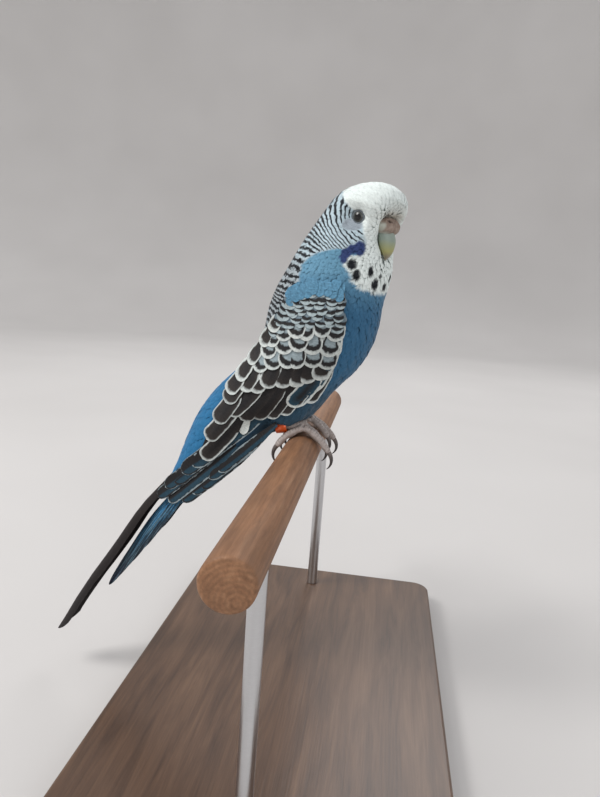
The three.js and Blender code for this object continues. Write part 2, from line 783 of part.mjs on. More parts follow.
function baseGeometry() {
  const { length, width, thickness, corner, bevel } = BASE;
  const x = length / 2 - bevel;
  const y = width / 2 - bevel;
  const shape = new THREE.Shape();
  shape.moveTo(-x + corner, -y);
  shape.lineTo(x - corner, -y);
  shape.absarc(x - corner, -y + corner, corner, -90 * RAD, 0);
  shape.absarc(x - corner, y - corner, corner, 0, 90 * RAD);
  shape.absarc(-x + corner, y - corner, corner, 90 * RAD, 180 * RAD);
  shape.absarc(-x + corner, -y + corner, corner, 180 * RAD, 270 * RAD);
  const plate = new THREE.ExtrudeGeometry(shape, {
    depth: thickness - 2 * bevel,
    bevelThickness: bevel,
    bevelSize: bevel,
    bevelSegments: 1,
    curveSegments: FACETS.corner.round,
  });
  plate.translate(0, 0, bevel);
  return plate;
}

function rodGeometry(y) {
  const bottom = BASE.thickness + GAP;
  const top = PERCH_HEIGHT - PERCH_DIAMETER / 2 - GAP;
  const radius = ROD_DIAMETER / 2;
  const rod = new THREE.CylinderGeometry(radius, radius, top - bottom, FACETS.rod.round);
  rod.rotateX(90 * RAD);
  rod.translate(0, y, (top + bottom) / 2);
  return rod;
}

addPart('perch', dowelGeometry(), finish(COLOURS.dowel, 0.7));
addPart('stand_base', baseGeometry(), finish(COLOURS.baseWood, 0.5), model);
addPart('stand_rod_near', rodGeometry(-ROD_REACH), finish(COLOURS.steel, 0.3, 1), model);
addPart('stand_rod_far', rodGeometry(ROD_REACH), finish(COLOURS.steel, 0.3, 1), model);

export default model;
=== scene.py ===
import math

import bpy
import numpy as np
from mathutils import Matrix, Vector
from mathutils.bvhtree import BVHTree


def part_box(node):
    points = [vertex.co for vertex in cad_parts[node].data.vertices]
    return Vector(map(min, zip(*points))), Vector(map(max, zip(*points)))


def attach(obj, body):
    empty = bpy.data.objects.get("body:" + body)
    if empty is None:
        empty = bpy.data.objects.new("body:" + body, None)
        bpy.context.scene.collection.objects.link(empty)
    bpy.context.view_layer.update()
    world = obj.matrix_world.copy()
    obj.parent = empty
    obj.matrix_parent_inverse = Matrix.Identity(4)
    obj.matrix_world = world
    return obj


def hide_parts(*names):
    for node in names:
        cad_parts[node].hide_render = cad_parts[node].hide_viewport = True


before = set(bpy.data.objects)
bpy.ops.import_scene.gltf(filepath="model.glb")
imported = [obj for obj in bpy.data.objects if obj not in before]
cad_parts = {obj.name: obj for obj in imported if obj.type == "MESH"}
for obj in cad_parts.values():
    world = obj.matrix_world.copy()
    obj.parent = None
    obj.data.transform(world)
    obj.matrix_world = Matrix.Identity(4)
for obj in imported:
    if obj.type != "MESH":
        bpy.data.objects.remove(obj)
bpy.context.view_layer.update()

# All measures below are millimetres from the dowel's axis at the feet: x forward, y left, z up.
MM = 0.001
PERCH_LOW, PERCH_HIGH = (np.array(corner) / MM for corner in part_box("perch"))
AXIS = np.array([0.0, 0.0, (PERCH_LOW[2] + PERCH_HIGH[2]) / 2])
RANDOM = np.random.default_rng(7)
BODY = "root"
MAP_NAME = "OFBake"

FLESH = ("head", "neck", "trunk", "rump", "leg_right", "leg_left")
VOXEL = 0.6
SMOOTHING = 9

HEAD_AT = np.array([13.5, 0.0, 83.5])
HEAD_TURN = math.radians(-30)
HEAD_AXES = np.array([
    [math.cos(HEAD_TURN), math.sin(HEAD_TURN), 0],
    [-math.sin(HEAD_TURN), math.cos(HEAD_TURN), 0],
    [0, 0, 1],
])
SPINE = [(14.5, 84), (12, 76), (7.5, 62), (3, 46), (-10, 26), (-28, 8), (-43, -15), (-54, -32)]


# Numbers and curves

def step(low, high, value):
    t = np.clip((value - low) / (high - low), 0, 1)
    return t * t * (3 - 2 * t)


def mix(first, second, share):
    return first + (second - first) * share


def unit(vectors):
    return vectors / np.maximum(np.linalg.norm(vectors, axis=-1, keepdims=True), 1e-9)


def dot(first, second):
    return (first * second).sum(-1, keepdims=True)


def upright(forward, up):
    """Vectors in the bird's middle plane."""
    return np.stack([forward, np.zeros_like(forward), up], -1)


def full_turn(count):
    """Angles evenly spaced round a circle."""
    return np.linspace(0, 2 * math.pi, count, endpoint=False)


def run_along(line):
    """Distance of each point of a line from its first one, measured along it."""
    return np.concatenate([[0], np.cumsum(np.linalg.norm(np.diff(line, axis=0), axis=1))])


def smooth_line(points, count):
    """count points, evenly spaced, on a smooth curve through the given ones."""
    points = np.array(points, float)
    first = 2 * points[0] - points[1]
    last = 2 * points[-1] - points[-2]
    padded = np.vstack([first, points, last])
    fine = []
    for a, b, c, d in zip(padded, padded[1:], padded[2:], padded[3:]):
        t = np.linspace(0, 1, 24, endpoint=False)[:, None]
        fine.append(0.5 * (2 * b + (c - a) * t + (2 * a - 5 * b + 4 * c - d) * t**2
                           + (3 * b - a - 3 * c + d) * t**3))
    fine = np.vstack(fine + [points[-1:]])
    run = run_along(fine)
    at = np.linspace(0, run[-1], count)
    return np.stack([np.interp(at, run, fine[:, k]) for k in range(fine.shape[1])], 1)


def in_head(points):
    """Head frame: forward from the middle of the skull, to the left, up."""
    return (points - HEAD_AT) @ HEAD_AXES.T


def from_head(points):
    return np.asarray(points, float) @ HEAD_AXES + HEAD_AT


def on_one_side(points):
    """Points in the head's frame, those on its right brought over to its left."""
    forward, side, up = in_head(points).T
    return np.stack([forward, np.abs(side), up], 1)


def off_face(points, place):
    """Distance from a place in the head's frame, or from the same place on its other side."""
    return np.linalg.norm(on_one_side(points) - place, axis=1)


# Materials

class Shader:
    """A node material, with short calls for the nodes used here."""

    def __init__(self, name, **constants):
        self.material = bpy.data.materials.new(name)
        self.material.use_nodes = True
        self.tree = self.material.node_tree
        self.main = self.tree.nodes["Principled BSDF"]
        for key, value in constants.items():
            self.main.inputs[key.replace("_", " ")].default_value = value

    def put(self, socket, value):
        if isinstance(value, bpy.types.NodeSocket):
            self.tree.links.new(value, socket)
        elif socket.type == "RGBA" and len(value) == 3:
            socket.default_value = (*value, 1)
        else:
            socket.default_value = value

    def node(self, kind, **settings):
        made = self.tree.nodes.new("ShaderNode" + kind)
        for key, value in settings.items():
            setattr(made, key, value)
        return made

    def place(self):
        return self.node("TexCoord").outputs["Object"]

    def attribute(self, name, output="Fac"):
        return self.node("Attribute", attribute_name=name).outputs[output]

    def math(self, operation, first, second=0.0, clamp=False):
        made = self.node("Math", operation=operation, use_clamp=clamp)
        self.put(made.inputs[0], first)
        self.put(made.inputs[1], second)
        return made.outputs[0]

    def plus(self, first, second):
        return self.math("ADD", first, second)

    def times(self, first, second):
        return self.math("MULTIPLY", first, second)

    def scaled(self, vector, scale):
        made = self.node("VectorMath", operation="MULTIPLY")
        self.put(made.inputs[0], vector)
        self.put(made.inputs[1], scale)
        return made.outputs[0]

    def noise(self, vector, scale, detail=3.0, roughness=0.55, distortion=0.0):
        made = self.node("TexNoise")
        self.put(made.inputs["Vector"], vector)
        for key, value in zip(("Scale", "Detail", "Roughness", "Distortion"),
                              (scale, detail, roughness, distortion)):
            made.inputs[key].default_value = value
        return made.outputs["Fac"]

    def cells(self, vector, scale):
        made = self.node("TexVoronoi")
        self.put(made.inputs["Vector"], vector)
        made.inputs["Scale"].default_value = scale
        return made.outputs["Distance"]

    def span(self, value, low, high, out_low=0.0, out_high=1.0, smooth=True):
        made = self.node("MapRange", interpolation_type="SMOOTHSTEP" if smooth else "LINEAR")
        for socket, number in zip(made.inputs, (value, low, high, out_low, out_high)):
            self.put(socket, number)
        return made.outputs["Result"]

    def ramp(self, value, stops):
        made = self.node("ValToRGB")
        elements = made.color_ramp.elements
        while len(elements) < len(stops):
            elements.new(0.5)
        for element, (at, colour) in zip(elements, stops):
            element.position = at
            element.color = (*colour, 1)
        self.put(made.inputs[0], value)
        return made.outputs["Color"]

    def blend(self, first, second, share, kind="MIX"):
        made = self.node("Mix", data_type="RGBA", blend_type=kind)
        self.put(made.inputs[0], share)
        self.put(made.inputs[6], first)
        self.put(made.inputs[7], second)
        return made.outputs[2]

    def shaded(self, colour, shade):
        return self.blend(colour, shade, 1.0, "MULTIPLY")

    def bump(self, height, distance, strength=1.0):
        made = self.node("Bump")
        made.inputs["Strength"].default_value = strength
        made.inputs["Distance"].default_value = distance * MM
        self.put(made.inputs["Height"], height)
        self.put(self.main.inputs["Normal"], made.outputs[0])

    def colour(self, value):
        self.put(self.main.inputs["Base Color"], value)


BLACK = (0.012, 0.014, 0.018)


def coat_material():
    """Feathers of the body, and the skin under them: tint, bars and barbs come from attributes."""
    s = Shader("coat", Roughness=0.8, Sheen_Weight=0.12, Sheen_Roughness=0.5, Specular_IOR_Level=0.2)
    vane = s.attribute("vane", "Vector")
    barbs = s.noise(s.scaled(vane, (3.4, 0.55, 1.0)), 1.0, 3)
    waver = s.noise(s.place(), 330, 3)
    phase = s.plus(s.attribute("phase"), s.times(waver, 0.95))
    wave = s.math("SINE", s.times(phase, 2 * math.pi))
    short = s.times(s.math("SUBTRACT", s.attribute("bar"), 1.0), 2.4)
    wave = s.plus(s.plus(wave, short), s.span(barbs, 0, 1, -0.45, 0.45, False))
    dark = s.span(wave, -0.35, 0.3)
    shade = s.span(barbs, 0.25, 0.75, 0.8, 1.12, False)
    tint = s.shaded(s.attribute("tint", "Color"), shade)
    s.colour(s.blend(tint, BLACK, dark))
    s.bump(barbs, 0.16, 0.5)
    return s.material


def vane_material(name, bands, web=None, web_share=0.0, streak=0.25, length=0.0):
    """A large feather: bands of colour by distance in mm from its outline, or from the tip of one
    with this length, and one web tinted."""
    s = Shader(name, Roughness=0.62, Sheen_Weight=0.03, Sheen_Roughness=0.5,
               Specular_IOR_Level=0.16)
    vane = s.attribute("vane", "Vector")
    barbs = s.noise(s.scaled(vane, (1.1, 1.9, 1.0)), 1.0, 4)
    side = s.node("SeparateXYZ")
    s.put(side.inputs[0], vane)
    uneven = s.times(s.math("SINE", s.times(side.outputs[2], 7.3)), 0.2)
    wander = s.span(s.noise(s.scaled(vane, (0.45, 0.45, 1.0)), 1.0, 2), 0, 1, -0.7, 0.7, False)
    away = s.attribute("edge")
    if length:
        up = s.times(s.math("SUBTRACT", 1.0, s.attribute("share")), length)
        arc = s.times(s.math("POWER", s.attribute("web"), 2.0), 0.5)
        away = s.math("SUBTRACT", up, arc)
    frayed = s.plus(away, s.span(barbs, 0, 1, -0.3, 0.3, False))
    frayed = s.plus(frayed, s.plus(uneven, wander))
    frayed = s.math("MAXIMUM", frayed, 0.0)
    reach = bands[-1][0]
    colour = s.ramp(s.math("DIVIDE", frayed, reach, True), [(at / reach, c) for at, c in bands])
    if web:
        inside = s.span(s.attribute("edge"), 0.5, 0.8, 0.0, web_share)
        outer = s.times(s.span(side.outputs[0], -0.2, 0.5), inside)
        colour = s.blend(colour, web, outer)
    shade = s.span(barbs, 0.25, 0.75, 1 - streak, 1 + streak, False)
    s.colour(s.shaded(colour, shade))
    s.bump(barbs, 0.12, 0.6)
    return s.material


# Meshes

def linked(name, data):
    """A new object in the scene."""
    made = bpy.data.objects.new(name, data)
    bpy.context.scene.collection.objects.link(made)
    return made


def make_piece(name, points, faces, material, replaces=(), smooth=True):
    """A piece of the model from points in mm. faces is an array of quads or a list of polygons."""
    mesh = bpy.data.meshes.new(name)
    placed = (np.asarray(points, float) + AXIS) * MM
    if isinstance(faces, np.ndarray):
        mesh.vertices.add(len(placed))
        mesh.vertices.foreach_set("co", placed.astype(np.float32).ravel())
        mesh.loops.add(faces.size)
        mesh.loops.foreach_set("vertex_index", faces.astype(np.int32).ravel())
        mesh.polygons.add(len(faces))
        starts = np.arange(0, faces.size, faces.shape[1], dtype=np.int32)
        mesh.polygons.foreach_set("loop_start", starts)
        mesh.update(calc_edges=True)
    else:
        mesh.from_pydata(placed.tolist(), [], faces)
    mesh.polygons.foreach_set("use_smooth", np.full(len(mesh.polygons), smooth))
    mesh.materials.append(material)
    piece = linked(name, mesh)
    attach(piece, BODY)
    if replaces:
        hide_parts(*replaces)
    return piece


def set_attribute(mesh, name, values):
    kinds = {1: ("FLOAT", "value"), 3: ("FLOAT_VECTOR", "vector"), 4: ("FLOAT_COLOR", "color")}
    kind, key = kinds[1 if values.ndim == 1 else values.shape[1]]
    layer = mesh.attributes.new(name, kind, "POINT")
    layer.data.foreach_set(key, values.astype(np.float32).ravel())


def set_map(mesh, places, turn=0.0):
    """The map the export bakes to. On a map that goes once round, quads over its seam run past it."""
    layer = mesh.uv_layers.new(name=MAP_NAME)
    corner = np.empty(len(mesh.loops), np.int32)
    mesh.loops.foreach_get("vertex_index", corner)
    spots = places[corner]
    if turn:
        around = spots.reshape(-1, 4, 2)[..., 0]
        split = np.ptp(around, axis=1, keepdims=True) > turn / 2
        around += turn * (split & (around < turn / 2))
    layer.uv.foreach_set("vector", spots.astype(np.float32).ravel())


# The body's outline, and what can be asked of it

def joined_nodes(names):
    """Points in mm and faces of several CAD nodes together."""
    points = []
    faces = []
    for name in names:
        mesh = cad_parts[name].data
        start = len(points)
        points += [(np.array(v.co) / MM - AXIS).tolist() for v in mesh.vertices]
        faces += [[start + i for i in p.vertices] for p in mesh.polygons]
    return points, faces


def melted(points, faces, voxel, smoothing):
    """One closed surface round overlapping solids: its points, normals and quads."""
    mesh = bpy.data.meshes.new("melted")
    mesh.from_pydata(points, [], faces)
    shape = linked("melted", mesh)
    remesh = shape.modifiers.new("remesh", "REMESH")
    remesh.mode = "VOXEL"
    remesh.voxel_size = voxel
    smooth = shape.modifiers.new("smooth", "SMOOTH")
    smooth.factor = 0.5
    smooth.iterations = smoothing
    graph = bpy.context.evaluated_depsgraph_get()
    done = bpy.data.meshes.new_from_object(shape.evaluated_get(graph))
    points = np.empty(len(done.vertices) * 3)
    normals = np.empty(len(done.vertices) * 3)
    quads = np.empty(len(done.loops), np.int32)
    done.vertices.foreach_get("co", points)
    done.vertices.foreach_get("normal", normals)
    done.loops.foreach_get("vertex_index", quads)
    bpy.data.objects.remove(shape)
    bpy.data.meshes.remove(mesh)
    bpy.data.meshes.remove(done)
    return points.reshape(-1, 3), normals.reshape(-1, 3), quads.reshape(-1, 4)


OUTLINE, OUTLINE_NORMALS, OUTLINE_QUADS = melted(*joined_nodes(FLESH), VOXEL, SMOOTHING)


# The crease on the forehead is evened out, in steps from each point to its neighbours' mean.
CREASE = (15, 7, 2.8)
EVENING_TURNS = 24
EVENING_SHARE = 0.5 * (1 - step(2.5, 6, off_face(OUTLINE, CREASE)))[:, None]


def evened(values):
    """The values of the outline's points, spread between neighbours round the crease."""
    start, end = np.vstack([OUTLINE_QUADS[:, [a, (a + 1) % 4]] for a in range(4)]).T
    count = np.bincount(start)[:, None]
    for _ in range(EVENING_TURNS):
        total = [np.bincount(start, column[end]) for column in values.T]
        values = mix(values, np.stack(total, 1) / count, EVENING_SHARE)
    return values


OUTLINE = evened(OUTLINE)
OUTLINE_NORMALS = unit(evened(OUTLINE_NORMALS))
OUTLINE_TREE = BVHTree.FromPolygons(OUTLINE.tolist(), OUTLINE_QUADS.tolist())


def nearest(points):
    """The outline's nearest place to each point, and its smooth normal there."""
    found = [OUTLINE_TREE.find_nearest(p) for p in points.tolist()]
    place = np.array([hit[0] for hit in found])
    corners = OUTLINE_QUADS[[hit[2] for hit in found]]
    apart = np.linalg.norm(OUTLINE[corners] - place[:, None], axis=2)
    weight = 1 / (apart**2 + 0.01)
    return place, unit((OUTLINE_NORMALS[corners] * weight[..., None]).sum(1))


SPINE_STEPS = 160
SPINE_POINTS = smooth_line(SPINE, SPINE_STEPS)
SPINE_RUN = np.linspace(0, run_along(SPINE_POINTS)[-1], SPINE_STEPS)
SPINE_AHEAD = unit(np.gradient(SPINE_POINTS, axis=0))


def along_spine(points):
    """Distance along the spine from the skull, the way to the tail, and the angle round it."""
    apart = points[:, None, [0, 2]] - SPINE_POINTS[None]
    at = (apart**2).sum(2).argmin(1)
    ahead = SPINE_AHEAD[at]
    offset = points[:, [0, 2]] - SPINE_POINTS[at]
    back = offset[:, 0] * ahead[:, 1] - offset[:, 1] * ahead[:, 0]
    return SPINE_RUN[at], upright(*ahead.T), np.arctan2(points[:, 1], back)


# Markings of the coat

WHITE = np.array([0.81, 0.88, 0.86])
PALE_BAR = np.array([0.50, 0.62, 0.68])
BACK_BAR = np.array([0.36, 0.41, 0.44])
BLUE = np.array([0.038, 0.134, 0.250])
NECK_BLUE = np.array([0.135, 0.305, 0.440])
RUMP_BLUE = np.array([0.024, 0.160, 0.335])
BELLY_SHADE_BLUE = np.array([0.032, 0.070, 0.105])
# Darker blue for painted shade low on the underside, by the legs.
EYE_PATCH = np.array([0.33, 0.38, 0.43])
VIOLET = np.array([0.033, 0.055, 0.165])
SPOT_BLACK = np.array([0.010, 0.012, 0.016])
# Brown of the brow over the cere: partly the face's own brown, partly painted shade under the brow.
BROW_BROWN_AND_SHADE = np.array([0.36, 0.30, 0.22])

# The mask's rear edge below the eye, in the head's frame: height, how far forward it lies.
MASK_EDGE = [(-26, 13), (-25, 11.5), (-24, 9.3), (-21.6, 6.9), (-18.7, 6.1), (-16.5, 4.1),
             (-13.4, 3.4), (-12.6, 8.6), (-10.2, 9.5), (-7.5, 9.3), (-5, 8.7), (-2.3, 7.9), (0, 6.4)]
# The neck's blue field begins in front of this edge: height, how far forward.
NECK_EDGE = [(33, -12), (45, -5), (57, -3.5), (60, -4.6), (63.1, -5.0), (66.8, -4.4), (69.5, -1.5),
             (71, 1), (72.4, 6), (73.5, 30)]
# Round patches in the head's frame: the middle, and the radii across and up.
CHEEK_LOBES = [((8.3, 10.7, -10.4), (2.2, 2.6)), ((6.2, 12.0, -10.9), (1.9, 1.6)),
               ((4.6, 13.0, -12.2), (2.0, 1.8)), ((3.9, 13.4, -14.0), (1.5, 1.9))]
SPOTS = [((6.6, -12.2, -15.8), (1.75, 1.9)), ((7.9, -11.1, -19.3), (1.5, 1.95)),
         ((11.1, -7.0, -17.8), (1.1, 1.95)), ((11.7, -4.6, -22.0), (1.55, 2.2)),
         ((12.5, -3.1, -19.2), (0.7, 0.8)), ((12.3, 0.6, -22.6), (1.3, 1.8)),
         ((12.4, 4.0, -19.2), (1.2, 1.6)), ((10.6, 8.0, -19.6), (1.4, 1.9)),
         ((7.4, 11.5, -16.4), (1.6, 1.8))]
BRIDGE = from_head((8.5, 0, 1))
EAR_AT = np.array([3.0, 11.5, -7.0])
# Distance back from the face, and the width there of a dark and a pale bar together.
PHASE_STEPS = [(0, 1.25), (14, 1.3), (24, 1.75), (38, 2.3), (120, 2.5)]


def edge_of(table, value):
    keys, values = np.array(table, float).T
    return np.interp(value, keys, values)


def bar_phase(points):
    """Turns of the bars, counted from the face backwards. They get wider towards the back."""
    head = np.linalg.norm(points - BRIDGE, axis=1)
    run, _, _ = along_spine(points)
    way = mix(head, run + 17, step(16, 27, head))
    at = np.linspace(0, 120, 481)
    turns = np.cumsum(1 / edge_of(PHASE_STEPS, at)) * (at[1] - at[0])
    return np.interp(way, at, turns)


def blob(places, centre, radii):
    """1 inside a round patch on the head's surface, 0 outside it."""
    apart = places - np.array(centre)
    flat = np.hypot(apart[:, 0], apart[:, 1]) / radii[0]
    return 1 - step(0.8, 1.12, np.hypot(flat, apart[:, 2] / radii[1]))


def markings(points, ragged):
    """The tint and the share of dark bars. ragged is a shift for each point, alike in a feather."""
    shifted = points + ragged
    head = in_head(shifted)
    left_alike = on_one_side(shifted)
    forward, side, up = left_alike.T
    run, _, angle = along_spine(shifted)
    x, _, z = shifted.T
    tint = np.tile(BLUE, (len(points), 1))

    def paint(colour, share):
        tint[:] = mix(tint, colour, np.clip(share, 0, 1)[:, None])

    # Body: paler towards the neck, darker low on the underside by the legs with painted shade, clear blue
    # on the rump.
    paint(mix(BLUE, NECK_BLUE, 0.55), step(50, 62, z))
    paint(NECK_BLUE, step(60, 66, z) * (1 - step(8, 17, x)))
    low = 1 - step(16, 30, z)
    front = step(-24, -12, x)
    # Painted shade: the underside low in front, by the legs, is darkened.
    paint(BELLY_SHADE_BLUE, 0.85 * low * front * step(1.2, 2.0, np.abs(angle)))
    paint(RUMP_BLUE, step(62, 76, run) * (1 - step(1.5, 2.3, np.abs(angle))))
    # Barred back, neck and sides of the head.
    dorsal = 1 - step(1.2, 1.6, np.abs(angle))
    nape = 1 - step(-0.8, 0.8, x - edge_of(NECK_EDGE, z))
    barred = np.where(z > 57, nape, dorsal) * step(32, 36, z)
    paint(BACK_BAR, barred)
    paint(PALE_BAR, barred * step(62, 74, z))
    patch = blob(left_alike, (4.7, 11.2, -2.6), (3.6, 2.2))
    paint(EYE_PATCH, patch)
    # White face, with a brown tinge over the cere that is partly painted shade under the brow, violet
    # cheeks and the throat's spots.
    crown = step(5.6, 6.8, forward + 0.95 * up) * step(-0.8, 0.0, up)
    below = (up < 0) * step(-26, -25, up)
    mask = step(-0.55, 0.55, forward - edge_of(MASK_EDGE, up)) * below
    white = np.maximum(crown, mask)
    paint(WHITE, white)
    # Brown over the cere and under the brow: partly the face's own brown, partly painted shade of the
    # brow's overhang.
    brow = ((forward - 14.5) / 4.5)**2 + ((side - 1.5) / 4.5)**2 + ((up - 0.6) / 1.9)**2
    paint(BROW_BROWN_AND_SHADE, 0.85 * np.exp(-brow) * white)
    cheek = np.max([blob(left_alike, *lobe) for lobe in CHEEK_LOBES], axis=0)
    paint(VIOLET, cheek)
    spots = np.max([blob(head, *spot) for spot in SPOTS], axis=0)
    paint(SPOT_BLACK, spots)
    barred = barred * mix(1, 1.12, step(26, 50, run))
    ear = (1 - step(5, 13, np.linalg.norm(left_alike - EAR_AT, axis=1))) * 0.22
    bars = barred * (1 - patch) * (1 - white) * (1 - cheek) * (1 - spots) * (1 - ear)
    return tint, bars


def paint_coat(mesh, points, ragged, vane, phase_shift):
    tint, bars = markings(points, ragged)
    set_attribute(mesh, "tint", np.hstack([tint, np.ones((len(tint), 1))]))
    set_attribute(mesh, "bar", bars)
    set_attribute(mesh, "phase", bar_phase(points) + phase_shift)
    set_attribute(mesh, "vane", vane)


EYE_SURFACE = (6.2, 9.4, 0)
BODY_DEPTH, HEAD_DEPTH, LEG_DEPTH = 1.5, 0.9, 0.6


def coat_depth(points):
    """How far the skin lies under the coat's outline: least round the eyes, bill and feet."""
    bare = np.minimum(step(2.6, 6, off_face(points, EYE_SURFACE)),
                      step(5.5, 9.5, off_face(points, (13, 0, -5))))
    head = step(62, 80, points[:, 2])
    leg = (1 - step(12, 22, points[:, 2])) * step(-22, -12, points[:, 0])
    return mix(mix(BODY_DEPTH, HEAD_DEPTH, head), LEG_DEPTH, leg) * (0.15 + 0.85 * bare)


# The map of the skin: a margin, and its share of the width and the height.
MAP_MARGIN, MAP_WIDE, MAP_HIGH = 0.02, 0.92, 0.96


def skin_piece(material):
    depth = coat_depth(OUTLINE)
    points = OUTLINE - OUTLINE_NORMALS * depth[:, None]
    skin = make_piece("skin", points, OUTLINE_QUADS, material, FLESH)
    ragged = np.zeros((len(points), 3))
    paint_coat(skin.data, OUTLINE, ragged, OUTLINE * 0.8, 0.0)
    run, _, angle = along_spine(OUTLINE)
    before, after = (((OUTLINE[:, [0, 2]] - SPINE_POINTS[end]) * SPINE_AHEAD[end]).sum(1)
                     for end in (0, -1))
    run = run + np.minimum(before, 0) * (run == 0) + np.maximum(after, 0) * (run == run.max())
    around = MAP_WIDE * ((angle / (2 * math.pi)) % 1)
    down = MAP_HIGH * (run - run.min()) / np.ptp(run)
    set_map(skin.data, MAP_MARGIN + np.stack([around, down], 1), MAP_WIDE)


# The lie of the coat

CERE_FRONT = from_head((18, 0, -5.5))


def lie(points, normals):
    """The way the feathers point: away from the cere on the head, along the spine behind it."""
    head = points - CERE_FRONT
    far = step(17, 30, np.linalg.norm(head, axis=1))[:, None]
    _, way, _ = along_spine(points)
    way = mix(unit(head), way, far)
    return unit(way - normals * dot(way, normals))


# Distance between neighbouring feathers: next to the eyes and bill, and on each part of the bird.
RIM_GAP, HEAD_GAP, NECK_GAP, BODY_GAP, LEG_GAP = 0.62, 0.85, 1.3, 1.7, 1.3


def spacing(points):
    """Distance between neighbouring feathers."""
    off_bare = np.minimum(step(3, 8, off_face(points, EYE_SURFACE)),
                          step(5, 10, off_face(points, (12, 0, -1))))
    gap = mix(RIM_GAP, HEAD_GAP, off_bare)
    gap = mix(gap, NECK_GAP, 1 - step(60, 72, points[:, 2]))
    gap = mix(gap, BODY_GAP, 1 - step(40, 60, points[:, 2]))
    leg = (1 - step(10, 20, points[:, 2])) * step(-18, -12, points[:, 0])
    return mix(gap, LEG_GAP, leg)


# The folded wing's outline seen from the side: forward, up.
WING_EDGE = [(6, 57), (-2, 54.5), (-11, 47.5), (-18.5, 38), (-24.5, 29), (-30, 15), (-34.5, 3),
             (-38.5, -6), (-37, -17), (-25, -8), (-14, 3), (-8, 12), (1, 20), (6, 28), (9, 35),
             (10.5, 44), (10.5, 52)]
WING_MIDDLE = (-10, 22)
WING_SHRINK = 1.10


def inside(points, edge):
    """Which points lie inside a closed outline."""
    found = np.zeros(len(points), bool)
    corners = np.array(edge, float)
    for a, b in zip(corners, np.roll(corners, -1, 0)):
        crosses = (a[1] > points[:, 1]) != (b[1] > points[:, 1])
        at = a[0] + (points[:, 1] - a[1]) * (b[0] - a[0]) / (b[1] - a[1] + 1e-12)
        found ^= crosses & (points[:, 0] < at)
    return found


def under_wing(points):
    """Places that the wing's feathers cover, clear of its edge."""
    shrunk = (points[:, [0, 2]] - WING_MIDDLE) * WING_SHRINK + WING_MIDDLE
    return inside(shrunk, WING_EDGE) & (np.abs(points[:, 1]) > 3.5)


EYE_AT = (5.6, 7.9, 0.1)
EYE_RADIUS = 2.7
EYE_WAY = (0.22, 1.0, -0.06)
EYE_OPENING = 2.55
CERE_AT = (12.0, 0.0, -2.2)
CERE_HALF = (3.35, 5.75, 3.15)


def bare(points):
    """Places in the openings for the eyes and behind the cere and bill, where no feather grows."""
    local = on_one_side(points)
    away = local - EYE_AT
    way = unit(np.array(EYE_WAY))
    off_axis = np.linalg.norm(away - (away @ way)[:, None] * way, axis=1)
    eye = (off_axis < EYE_OPENING) & (away @ way > 0)
    cere_room = (((local - CERE_AT) / (np.array(CERE_HALF) + 0.5))**2).sum(1) < 1
    bill_room = (local[:, 0] > 8.5) & (local[:, 1] < 4) & (local[:, 2] > -12) & (local[:, 2] < -4)
    return eye | cere_room | bill_room


ROOT_TRIES = 120000


def scattered_roots():
    """Random places on the outline, none nearer to another than the spacing there."""
    corners = OUTLINE[OUTLINE_QUADS]
    crossed = np.cross(corners[:, 2] - corners[:, 0], corners[:, 3] - corners[:, 1])
    area = np.linalg.norm(crossed, axis=1)
    drawn = RANDOM.choice(len(area), ROOT_TRIES, p=area / area.sum())
    u, v = RANDOM.random((2, ROOT_TRIES, 1))
    a, b, c, d = corners[drawn].transpose(1, 0, 2)
    points = mix(mix(a, b, u), mix(d, c, u), v)
    points = points[~under_wing(points) & ~bare(points)]
    gap = spacing(points)
    cell = gap.max()
    taken = {}
    kept = []
    for i, (key, point) in enumerate(zip(np.floor(points / cell).astype(int).tolist(), points)):
        x, y, z = key
        near = [j for dx in (-1, 0, 1) for dy in (-1, 0, 1) for dz in (-1, 0, 1)
                for j in taken.get((x + dx, y + dy, z + dz), ())]
        if near and ((points[near] - point)**2).sum(1).min() < gap[i]**2:
            continue
        kept.append(i)
        taken.setdefault((x, y, z), []).append(i)
    return points[kept]


# Small feathers of the head and body

TUFT_ROWS = np.array([0, 0.3, 0.58, 0.82, 1.0])
TUFT_COLUMNS = np.linspace(-1, 1, 7)
TUFT_THICKNESS = 0.055
# Length and width of a small feather, in spacings.
TUFT_LENGTH = (3.2, 4.0)
TUFT_WIDTH = (2.0, 2.4)
# How far a small feather turns out of the lie, its tip's rounding and fringe, and their unevenness.
TUFT_TURN = 0.10
TIP_ROUNDING = 0.34
TIP_FRINGE = 0.06
TIP_UNEVEN = 0.03


def closed_topology(rows, columns):
    """Quads of a thin closed vane: a grid on top, one beneath, and the rim between them."""
    at = np.arange(rows * columns).reshape(rows, columns)
    top = np.stack([at[:-1, :-1], at[1:, :-1], at[1:, 1:], at[:-1, 1:]], -1).reshape(-1, 4)
    under = rows * columns
    rim = np.concatenate([at[0], at[1:, -1], at[-1, -2::-1], at[-2:0:-1, 0]])
    ahead = np.roll(rim, -1)
    side = np.stack([rim, ahead, ahead + under, rim + under], 1)
    return np.vstack([top, top[:, ::-1] + under, side])


def repeated(topology, size, count):
    return (topology[None] + size * np.arange(count)[:, None, None]).reshape(-1, topology.shape[1])


def tuft_cells(places):
    """A small square of the map for each tuft, at its root's place and clear of its neighbours."""
    apart = np.full(len(places), 1.0)
    for start in range(0, len(places), 500):
        block = places[start:start + 500, None] - places[None]
        far = np.abs(block).max(2)
        far[np.arange(len(far)), start + np.arange(len(far))] = 1
        apart[start:start + 500] = far.min(1)
    return np.clip(apart * 0.9, 0.003, 0.006)


def even_place(values):
    """Values spread over 0 to 1 so that each stretch holds as many."""
    order = np.argsort(np.argsort(values))
    return 0.015 + 0.97 * order / max(1, len(values) - 1)


def doubled(values):
    """The same values for the points of the upper and then of the lower faces, feather by feather."""
    return np.concatenate([values] * 2, 1).reshape(-1, *values.shape[2:])


